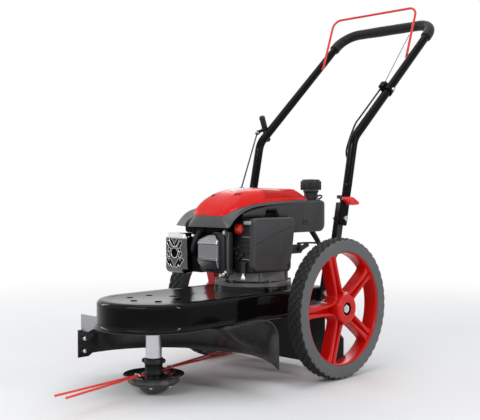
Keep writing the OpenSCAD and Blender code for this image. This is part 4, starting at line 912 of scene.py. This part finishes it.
# The head's flange is a real part; its lighter alloy against the dark head also stands in for the soft highlight down
# the head's right edge.
flange = [slab(rounded_rectangle((40, 44), (54, 150), 4), -20, -2, 2),
          slab(rounded_rectangle((34, 36), (54, 54), 6), -8, 1, 1.2),
          slab(np.array([[-14, 139], [34, 141], [50, 138], [53, 147], [47, 156], [36, 157]], float), -6, 1, 1.2)]
piece("head_flange", moved(join(*flange), facing_front), flange_highlight_alloy)
heads = shifted(hexagon(5, 0, 4), [45, 148, 1], [44, 44, 1], [50, 50, 1], [33, 40, 1])
piece("head_bolts", moved(heads, facing_front), zinc)
shield = soft_box([-76, -152, 44], [-36, -112, 146], 5)
housing = lofted_box([(-151, -96, 40, 148, 172, 6), (-149, -100, 43, 145, 180, 8), (-120, -104, 44, 145, 192, 8),
                      (-117, -104, 70, 143, 196, 8), (34, -92, 70, 140, 200, 8), (40, -86, 66, 146, 196, 8)])
piece("blower_body", moved(join(shield, housing), on_engine), deep_black)
boot_line = smooth_line([[-31, -150, 158], [-37, -157, 148], [-44, -161, 132], [-51, -163, 114], [-57, -160, 100],
                         [-60, -150, 94]], 6)
ridges = [tube(boot_line + [dx, -4.8, 0], 1.6, 10) for dx in (-4.2, 4.2)]
piece("plug_cap", moved(join(tube(boot_line, 6.5, 18), *ridges), on_engine), soft_black, ["plug_boot"])
shield_bolt = moved(spun([[7, 0], [7, 3], [6, 6], [3.5, 8], [1, 8.6]], 24), lambda v: fronted(v) + [-64, -151, 137])
piece("shield_bolt", moved(shield_bolt, on_engine), zinc)


def guard_holes(a, b):
    """Distance to the nearest opening of the silencer guard, negative inside: a round hole in the middle, and on
    both sides slots that lean outwards, long above and below it and short beside it."""
    away = np.hypot(a, b) - 12.0
    for x, z, half, r in ((9, 27, 9, 3.7), (20, 21, 8, 3.7), (12, -26, 9, 3.7), (24, -23, 8, 3.7), (19.5, 8, 1.5, 3.4),
                          (23, -4, 4, 3.4)):
        for side in (1, -1):
            along = np.clip((side * a - x) * 0.6 + (b - z) * 0.8, -half, half)
            away = np.minimum(away, np.hypot(side * a - x - along * 0.6, b - z - along * 0.8) - r)
    return away


def painted_highlight_rim(m):
    """Face middles on the silencer guard's turned top and round its openings, which take the bright chrome as a painted
    highlight.
    """
    x, _, z = (m - ENGINE).T
    return (z > 128.5) | (guard_holes(x + 112, z - 92) < 1.3)


# The guard's turned top and the rims of its openings get bright chrome over the plain chrome: a painted highlight.
silencer_cover = piece("silencer_guard", moved(
    faced_block(40, 52, 13, lambda a, b: 27 + 0 * a, -5, 13, (112, 136), guard_holes),
    lambda v: facing_front(v + [-112, 92, 0])), chrome, ["muffler_guard"], angle=40,
    second=(bright_chrome, painted_highlight_rim))
sheet = silencer_cover.modifiers.new("sheet", "SOLIDIFY")
sheet.thickness = 1.6 * MM
sheet.offset = -1.0


def crankcase_skin():
    """Crankcase: a turned casting with a flange, filleted wall and shoulder, upright ribs, flange bolts, and an arm
    with a pin for the brake."""
    body = spun([[60, 7], [98.6, 7], [100, 8.4], [100, 17.4], [98.6, 19], [93, 20], [90.6, 22], [90, 26], [89.4, 44],
                 [88, 48], [84, 51], [79.5, 53], [78, 57], [78, 133], [76, 136.4], [60, 137], [42, 137.4], [39.5, 140],
                 [39.5, 177]], 96)
    sixths = 60 * np.arange(6)
    ribs = ringed(soft_box([86, -2.5, 19], [95, 2.5, 46], 1.4), sixths - math.degrees(0.62))
    bolts = ringed(shifted(hexagon(4.6, 18.6, 24), [95, 0, 0]), sixths - math.degrees(0.36))
    pin = moved(spun([[3, 0], [3, 7], [2.4, 7.6]], 16), lambda v: sided(v) + [60.7, 118, 96])
    return join(body, ribs, bolts, soft_box([49.7, 40, 84], [61.7, 128, 108], 3), pin)


piece("crankcase_cast", moved(crankcase_skin(), on_engine), cast_alloy, ["crankcase"], angle=32,
      second=(dark_alloy, lambda m: (m[:, 1] - ENGINE[1] > 79) & (m[:, 2] - ENGINE[2] > 60)))
hose_line = smooth_line([[60, 166, 147], [60, 176, 136], [60, 190, 121], [61, 200, 106], [62, 203, 88], [63, 198, 66],
                         [64, 180, 40], [65, 160, 17], [65, 146, 4], [65, 140, -1]], 6)
hose_r = np.interp(np.arange(len(hose_line)), [0, 16, 22, 60], [7.5, 7.0, 4.6, 4.4])
hose = swept(hose_line, hose_r[:, None, None] * round_section(1.0, 18)[None])
piece("vent_hose", moved(hose, on_engine), soft_black)
eyelet = shifted(revolved(np.array([4.2, 0]) + round_section(1.7, 12), 32), [-14, -28.6, 259.4])
piece("rope_eyelet", moved(eyelet, on_engine), deep_black)


# Deck, guard and head

def deck_ring(grow, z, steps=49):
    """Deck outline drawn in or out by grow: a half circle round the spindle, straight sides, a rear with round
    corners."""
    half, r = DECK_HALF + grow, max(10 + grow, 3)
    rear = DECK_REAR + min(grow, 0)
    nose = np.linspace(math.pi, TAU, steps)
    turn = np.linspace(0, math.pi / 2, 8)
    front = np.stack([half * np.cos(nose), SPINDLE[1] + half * np.sin(nose)], axis=1)
    left = np.stack([half - r + r * np.cos(turn), rear - r + r * np.sin(turn)], axis=1)
    line = np.vstack([front, left, left[::-1] * [-1, 1]])
    return np.column_stack([line, np.full(len(line), z)])


def deck_skin():
    """Deck: rings of the outline from the inside of the top, down the inner wall, out over a flared lip, up the
    outer wall, round the top edge and in to a sunk panel."""
    a = np.radians(np.linspace(0, 90, 9))
    rings = [(-30, 219.8), (-12.5, 219.8), (-5, 217), (-2.5, 211), (-2.5, 166), (-1.6, 162), (1, 160.2), (6, 160),
             (7, 160.6), (7, 162), (5, 162.6), (2.6, 164), (0.8, 167), (0, 172)]
    rings += [(-11 + 11 * math.cos(t), 212 + 11 * math.sin(t)) for t in a]
    rings += [(-23, 223), (-25, 222.8), (-26.4, 222.2), (-28, 222)]
    return surface(np.stack([deck_ring(g, z) for g, z in rings]), wrap_columns=True, caps=True)


piece("deck", deck_skin(), deck_black, ["deck_shell"], angle=30,
      second=(panel_black, lambda m: m[:, 2] > 221.9))
# Six flat black discs on the deck's sunk panel stand in for its vent holes: their black is painted shade.
hole_shade_disc = spun([[8.2, 221], [8.2, 222.2], [7.8, 222.45], [5, 222.5], [1, 222.5]], 28)
holes = [[59 * math.cos(t), 59 * math.sin(t), 0] for t in np.radians(30 + 60 * np.arange(6))]
piece("deck_hole_shade", moved(shifted(hole_shade_disc, *holes), at_head), hole_shade_black)
piece("rear_sheet", soft_box([-128, 143.2, 97], [128, 145.6, 158], 1.0), flap_grey)


def guard_skin(out=241.0, foot=63.0, brim=157.8, inner=118.0, count=34):
    """Guard: a section carried round the spindle and out along a straight wing, on which it swells from a sloped
    band into a raised hood; past the deck's lip its inner edge rises too, and its lower edge is bowed up midway
    along the wing. along is the distance from the wing's start, and turn the angle round the spindle before it."""
    arc, wing = np.radians(np.linspace(110, 0, 34, endpoint=False)), np.linspace(0, 172, 40)
    turn, along = np.concatenate([arc, 0 * wing]), np.concatenate([-out * arc, wing])
    crown = [[200, 182], [218, 178], [232, 165], [240, 146], [out, 120], [out, foot]]
    band = evened([[inner, brim], [151.5, brim], [out, 84.5], [out, foot]], count)
    far = evened([[inner, brim], [196, brim], [232, 157.4], [out, 150], [out, foot]], count)
    hood = evened([[inner, brim], [146, brim], [166, 174], [182, 181]] + crown, count, 2)
    near = evened([[inner, 171], [140, 174.5], [160, 178.5], [182, 181.5]] + crown, count, 2)
    swell, close = eased_step(along, 30, 174)[:, None, None], eased_step(along, 112, 162)[:, None, None]
    squared = eased_step(np.degrees(turn), 84, 106)[:, None, None]
    section = band * (1 - swell - squared) + hood * swell + far * squared
    r, z = np.moveaxis(section * (1 - close) + near * close, -1, 0)
    bow = 12.5 * eased_step(along, -130, 85) * (1 - np.clip((along - 75) / 97, 0, 1) ** 3)
    z = z + bow[:, None] * (1 - eased_step(z, foot, 120))
    x, y = r * np.cos(turn)[:, None], r * np.sin(turn)[:, None] - np.maximum(along, 0)[:, None]
    return sheeted(at_head(turned(np.stack([x, y, z], axis=-1), 70)), 2.6)


piece("guard_sheet", guard_skin(), guard_satin, ["guard"], angle=30)


stay = slab(np.array([[-234.6, 124.2], [-206, 124.2], [-141, 151], [-140.2, 165.9], [-234.6, 165.9]]), 36, 38, 0.4)
piece("stay_plate", moved(stay, lambda v: at_head(fronted(v))), stay_zinc, ["guard_stay"])
# Black plate laid over the zinc stay's inner tongue: painted shade.
stay_shade_tongue = slab(np.array([[-207, 124.4], [-141, 124.4], [-104, 146], [-104, 157.6], [-141, 157.6]]), 36.4, 37.6, 0.3)
piece("stay_tongue_shade", moved(stay_shade_tongue, lambda v: at_head(fronted(v))), deep_black)
filler = slab(np.array([[14, 80], [14, 148], [-16, 128], [-16, 80]], float), 235.4, 237.2, 0.3)
piece("guard_end", moved(filler, lambda v: at_head(sided(v) * [-1, 1, 1])), sheet_black)
stud = moved(spun([[5, 0], [5, 2], [4, 3.6], [2, 4.5], [0.6, 4.7]], 24), sided)
studs = shifted(stud, *[[-229.9, -30, z] for z in (73, 104)])
piece("bracket_studs", moved(studs, at_head), bright_chrome)

dish = spun([[8, 40.2], [56, 40], [66, 41.2], [71, 43.6], [72, 45.2], [71.2, 46], [69, 45.4], [60, 43.6], [32, 43],
             [25, 44.6], [22, 46], [8, 46]], 72)
piece("dish", moved(dish, at_head), sheet_black, ["dish_plate"], angle=40)
ring = spun([[8, 22], [51, 22], [54, 22.8], [60, 27.4], [61, 29], [60.6, 31], [58.6, 39.4], [57, 40.1], [8, 40.1]], 72)
tabs = ringed(soft_box([-5.5, 56.6, 30.6], [5.5, 61.2, 37.6], 1.2), 30 * np.arange(12))
piece("head_ring", moved(join(ring, tabs), at_head), ring_grey, ["line_ring"], angle=35,
      second=(tab_grey, lambda m: (np.hypot(m[:, 0], m[:, 1] - SPINDLE[1]) > 59.4) & (m[:, 2] > 31.2)))


def dome_skin():
    """Ground dome: a bowl whose radius and height follow powers of a quarter wave."""
    t = np.linspace(0, math.pi / 2, 14)
    r, z = np.append(36 * np.sin(t) ** 0.9, 35), np.append(22 - 22 * np.cos(t) ** 0.8, 22.4)
    return spun(np.column_stack([r, z]) + [0.4, 0.1], 64)


piece("head_dome", moved(dome_skin(), at_head), dome_grey, ["ground_dome"], angle=40)
collar = spun([[7.6, 45.5], [21, 45.5], [21.6, 47], [21, 49], [21, 68], [22, 69.4], [23, 70.4], [23, 80.6], [22, 82],
               [7.6, 82]], 48)
piece("collar", moved(collar, at_head), black_plastic, ["head_collar"], angle=40)


def line_skin(side, reach=299.0):
    """Strand of a folded line: a tube that rises from the dish to the clip and runs out level beside its twin."""
    far = np.concatenate([np.linspace(34, 62, 10), np.linspace(80, reach, 14)])
    x = -side * (far - 14) * math.tan(math.radians(3.3))
    z = 50 - 4.6 * np.clip((60 - far) / 26, 0, 1) ** 2
    return tube(np.column_stack([x, far, z]), 2.55, 16)


def clip_skin():
    """Wire clip: a round wire carried round a stadium that stands across the lines."""
    a = np.linspace(0, TAU, 64, endpoint=False)
    c, d = np.cos(a), np.sin(a)
    loop = np.column_stack([3.4 * np.sign(c) + 3.95 * c, 0 * a, 50.4 + 3.95 * d])
    across = np.cross(unit(np.roll(loop, -1, axis=0) - np.roll(loop, 1, axis=0)), [0, 1, 0])
    t = np.linspace(0, TAU, 10, endpoint=False)[None, :, None]
    grid = loop[:, None] + 1.15 * (np.cos(t) * across[:, None] + np.sin(t) * np.array([0, 1, 0]))
    return shifted(surface(grid, wrap_rows=True, wrap_columns=True), [0, 58.8, 0])


strands = ringed(join(line_skin(1), line_skin(-1)), LINE_TURNS)
piece("trimmer_line", moved(strands, at_head), line_red, ["cutting_lines"], angle=60)
ring_bolts = ringed(shifted(hexagon(3.6, 18.8, 22.2), [48, 0, 0]), range(12, 372, 60))
piece("line_clips", moved(join(ringed(clip_skin(), LINE_TURNS), ring_bolts), at_head), zinc, ["head_hardware"])
collar_bolt = spun([[5.2, 0], [5.2, 3.4], [4.2, 5], [2, 5.8], [0.6, 6]], 24)
collar_bolts = ringed(moved(collar_bolt, lambda v: v[:, [2, 1, 0]] + [22.6, 0, 76]), (35, 215))
piece("collar_bolts", moved(collar_bolts, at_head), dark_alloy, body="trimmer_head")


# Handle

def corner(middle, start, end, r, steps=14):
    """Quarter arc about a middle, from one unit direction to another."""
    a = np.linspace(0, math.pi / 2, steps)[:, None]
    return np.asarray(middle) + r * (np.cos(a) * np.asarray(start) + np.sin(a) * np.asarray(end))


def grip_line(first):
    """Upper tube's middle line, from a height on the left round both corners to the right, in the upper frame."""
    top = UPPER_LEN - CORNER_R
    x = LEG_X - CORNER_R
    left = corner([x, 0, top], [1, 0, 0], [0, 0, 1], CORNER_R)
    up = np.linspace([LEG_X, 0, first], [LEG_X, 0, top], 12, endpoint=False)
    bar = np.linspace([x, 0, UPPER_LEN], [-x, 0, UPPER_LEN], 12)[1:-1]
    half = np.vstack([up, left])
    return np.vstack([half, bar, half[::-1] * [-1, 1, 1]])


def upper_world(v):
    """Upper-frame points whose X runs across the whole machine."""
    return on_upper(np.asarray(v, float) - [LEG_X, 0, 0])


def handle_skin():
    """Handle: one tube from flat foot to flat foot; its section goes from a flattened oval to a circle."""
    trim = BEND_R * math.tan(math.radians(TURN / 2))
    foot = np.concatenate([[-18, -17.4, -15], np.linspace(-8, 60, 9), np.linspace(66, 96, 12),
                           np.linspace(104, LEG_LEN - trim, 8)])
    a = np.radians(np.linspace(0, TURN, 12))[1:]
    bend = np.column_stack([np.zeros(11), BEND_R * (1 - np.cos(a)), LEG_LEN - trim + BEND_R * np.sin(a)])
    leg = np.vstack([np.column_stack([0 * foot, 0 * foot, foot]), bend])
    left = on_leg(leg)
    middle = upper_world(grip_line(trim + 8))
    path = np.vstack([left, middle, left[::-1] * [-1, 1, 1]])
    flat = np.zeros(len(leg))
    flat[:len(foot)] = 1 - eased_step(foot, 64, 92)
    flat = np.concatenate([flat, np.zeros(len(middle)), flat[::-1]])
    end = np.ones(len(leg))
    end[:3] = [0.72, 0.9, 0.98]
    end = np.concatenate([end, np.ones(len(middle)), end[::-1]])
    t = np.linspace(0, TAU, 28, endpoint=False)[None, :]
    power = (1 - 0.62 * flat)[:, None]
    cx, cy = np.cos(t), np.sin(t)
    wide = (TUBE_R + 3 * flat) * end
    thick = TUBE_R - 7 * flat
    first = np.sign(cx) * np.abs(cx) ** power * wide[:, None]
    second = np.sign(cy) * np.abs(cy) ** power * thick[:, None]
    # The bar runs along X, so the first axis of its section is the handle's lean there
    along = directions(path)
    across = np.cross(along, [1.0, 0, 0])
    lean = leaned([0, 1, 0], LEAN + TURN)
    frame_y = np.where(np.linalg.norm(across, axis=1, keepdims=True) > 0.75, unit(across), lean)
    frame_y = unit(frame_y - along * np.einsum("ij,ij->i", frame_y, along)[:, None])
    frame_y *= np.sign(np.einsum("ij,j->i", frame_y, lean))[:, None]
    frame_x = np.cross(along, frame_y)
    grid = path[:, None] + first[..., None] * frame_y[:, None] + second[..., None] * frame_x[:, None]
    return surface(grid, wrap_columns=True, caps=True)


piece("handle", handle_skin(), tube_black, ["handle_tube"])


def foam_skin():
    """Foam sleeve round the grip: a round section that swells and dips a little along its length."""
    path = upper_world(grip_line(UPPER_LEN - CORNER_R - 16))
    step = np.concatenate([[0], np.cumsum(np.linalg.norm(np.diff(path, axis=0), axis=1))])
    r = 15.5 + 0.3 * np.sin(step / 31) + 0.2 * np.sin(step / 13 + 1)
    r[[0, -1]] = 12.2
    r[[1, -2]] = 14.6
    return pipe(path, r, leaned([0, 1, 0], LEAN + TURN), 24)


foam = piece("foam_sleeve", foam_skin(), foam_black, ["foam_grip"])


def bail_skin():
    """Bail: one wire from a pin in the left tube up its arm, across, and down to the right pin."""
    foot, turn_r, wire_r = 4.4, 26.0, 3.5
    x, z = BAIL_X - turn_r, BAIL_LEN - turn_r
    pin = np.linspace([163, 0, 0], [BAIL_X + foot, 0, 0], 5, endpoint=False)
    low = corner([BAIL_X + foot, 0, foot], [0, 0, -1], [-1, 0, 0], foot, 8)
    arm = np.linspace([BAIL_X, 0, foot], [BAIL_X, 0, z], 12)[1:-1]
    high = corner([x, 0, z], [1, 0, 0], [0, 0, 1], turn_r, 14)
    half = np.vstack([pin, low, arm, high])
    top = np.linspace([x, 0, BAIL_LEN], [-x, 0, BAIL_LEN], 12)[1:-1]
    line = np.vstack([half, top, half[::-1] * [-1, 1, 1]])
    return pipe(leaned(line, BAIL_LEAN) + [0, BAIL_Y, BAIL_Z], wire_r, leaned([0, 1, 0], BAIL_LEAN), 16)


piece("bail_wire_frame", bail_skin(), wire_red, ["bail"])


def knob_skin():
    """Wing knob: sections along its wings, tall at the hub and low at flat ends, with a dip beside the hub, over
    a turned base."""
    y = np.array([0, 5, 9, 10.4, 11.4, 12.8, 13.8, 15.4, 20, 25, 28, 29.4, 30])
    tall = np.interp(y, [0, 9, 11.4, 14, 20, 28, 29.4, 30], [10.4, 9.6, 8.2, 7.8, 6.2, 4.4, 3.8, 3.0])
    top = np.interp(y, [0, 9, 11, 13, 15.4, 20, 28, 29.4, 30], [25.3, 25.1, 20.5, 20.5, 24.6, 25, 24.4, 23.6, 22.6])
    place = np.concatenate([-y[:0:-1], y])
    tall, top = np.concatenate([tall[:0:-1], tall]), np.concatenate([top[:0:-1], top])
    wing = lofted_box(list(zip(place, 9.5 + 0 * place, top, -tall, tall, np.minimum(tall - 0.4, 3.6))), 5)
    base = moved(spun([[10.4, 5.4], [11, 6], [11, 10.6], [10.2, 12]], 40), sided)
    return join(wing, base)


for side, name in ((1, "left"), (-1, "right")):
    piece("knob_" + name, moved(knob_skin(), lambda v: on_leg(v + [0, 0, 47], side)), knob_red,
          ["wing_knob_" + name], angle=35)


def grip_skin():
    """Starter grip: a round bar with rounded ends and shallow waves along it, on a stem that leans back from a
    foot."""
    y = np.concatenate([[-41, -40.6, -39.4, -37.4, -35], np.linspace(-32, 32, 65), [35, 37.4, 39.4, 40.6, 41]])
    r = np.interp(np.abs(y), [32, 35, 37.4, 39.4, 40.6, 41], [9.0, 8.8, 8.1, 6.6, 4.4, 1.0])
    r[5:-5] -= 0.35 * (1 - np.cos(TAU * y[5:-5] / 8))
    bar = moved(spun(np.column_stack([r, y]), 32), lambda v: v[:, [0, 2, 1]] + [0, 0, 32])
    stem = spun([[5, -1], [4.8, 8], [4.8, 20], [5.6, 27], [7, 31]], 28)
    foot = spun([[5.4, -5], [5.9, -4.4], [6.5, 1], [6.1, 2], [3, 2.2]], 28)
    return shifted(join(foot, moved(join(bar, stem), lambda v: leaned(v, 20))), GRIP_FOOT)


piece("pull_handle", moved(grip_skin(), lambda v: on_upper(v, -1)), black_plastic, ["starter_grip"],
      angle=50)
clamp_bolt = spun([[5, 0], [5, 3], [4, 4.6], [1, 5.2]], 24)
piece("clamp_bolt", moved(clamp_bolt, lambda v: on_upper(sided(v) + [15.4, 0, CLAMP_AT + 11])), zinc, body="handle")


# Stage and light

def floor():
    """Pale floor that fades into white away from the machine."""
    reach = 30.0
    mesh = bpy.data.meshes.new("floor")
    mesh.from_pydata([(x, y, 0) for x, y in ((-reach, -reach), (reach, -reach), (reach, reach), (-reach, reach))], [],
                     [(0, 1, 2, 3)])
    obj = bpy.data.objects.new("floor", mesh)
    bpy.context.scene.collection.objects.link(obj)
    m = bpy.data.materials.new("floor_pale")
    m.use_nodes = True
    t = m.node_tree
    pale = settle(t.nodes["Principled BSDF"], Base_Color=(0.84, 0.84, 0.845, 1), Roughness=0.9, Specular_IOR_Level=0.1)
    glow = node(t, "Emission", Color=(1, 1, 1, 1))
    mix, place, ray = node(t, "MixShader"), node(t, "TexCoord"), node(t, "LightPath")
    away, seen = node(t, "VectorMath"), node(t, "Math")
    away.operation, seen.operation = "LENGTH", "MULTIPLY"
    fade = node(t, "MapRange", From_Min=0.9, From_Max=2.6)
    fade.interpolation_type = "SMOOTHSTEP"
    wire(t, (place, "Object", away, 0), (away, "Value", fade, "Value"), (fade, "Result", seen, 0),
         (ray, "Is Camera Ray", seen, 1), (seen, "Value", mix, "Fac"), (pale, "BSDF", mix, 1),
         (glow, "Emission", mix, 2), (mix, "Shader", t.nodes["Material Output"], "Surface"))
    mesh.materials.append(m)


def surround():
    """World that lights softly and shows as white to the camera and in reflections."""
    world = bpy.data.worlds.new("surround")
    bpy.context.scene.world = world
    world.use_nodes = True
    t = world.node_tree
    back = settle(t.nodes["Background"], Color=(0.95, 0.97, 1.0, 1), Strength=0.5)
    white = node(t, "Background", Color=(1, 1, 1, 1), Strength=1.0)
    mix, ray = node(t, "MixShader"), node(t, "LightPath")
    seen, clear = node(t, "Math"), node(t, "Math")
    seen.operation = clear.operation = "MAXIMUM"
    wire(t, (ray, "Is Camera Ray", seen, 0), (ray, "Is Glossy Ray", seen, 1), (seen, "Value", clear, 0),
         (ray, "Is Transmission Ray", clear, 1), (clear, "Value", mix, "Fac"), (back, "Background", mix, 1),
         (white, "Background", mix, 2), (mix, "Shader", t.nodes["World Output"], "Surface"))


def lamp(name, where, wide, tall, power, target=(0.0, -0.1, 0.3)):
    """Soft rectangular lamp aimed at the machine."""
    data = bpy.data.lights.new(name, "AREA")
    data.shape = "RECTANGLE"
    data.size, data.size_y, data.energy = wide, tall, power
    obj = bpy.data.objects.new(name, data)
    obj.location = where
    aim = np.array(target) - np.array(where)
    obj.rotation_euler = (math.acos(-aim[2] / np.linalg.norm(aim)), 0, math.atan2(aim[1], aim[0]) - math.pi / 2)
    bpy.context.scene.collection.objects.link(obj)


floor()
surround()
lamp("overhead", (0.1, -0.2, 3.2), 2.6, 2.6, 26.0)
lamp("key", (0.5, -2.8, 2.1), 2.0, 0.14, 30.0)
lamp("side", (2.9, 0.3, 1.5), 0.16, 1.6, 22.0)
lamp("back", (-1.7, 2.3, 2.2), 1.8, 1.0, 20.0)
lamp("right", (-2.8, -1.0, 1.4), 0.6, 1.4, 16.0)
bpy.context.scene.view_settings.view_transform = "Standard"
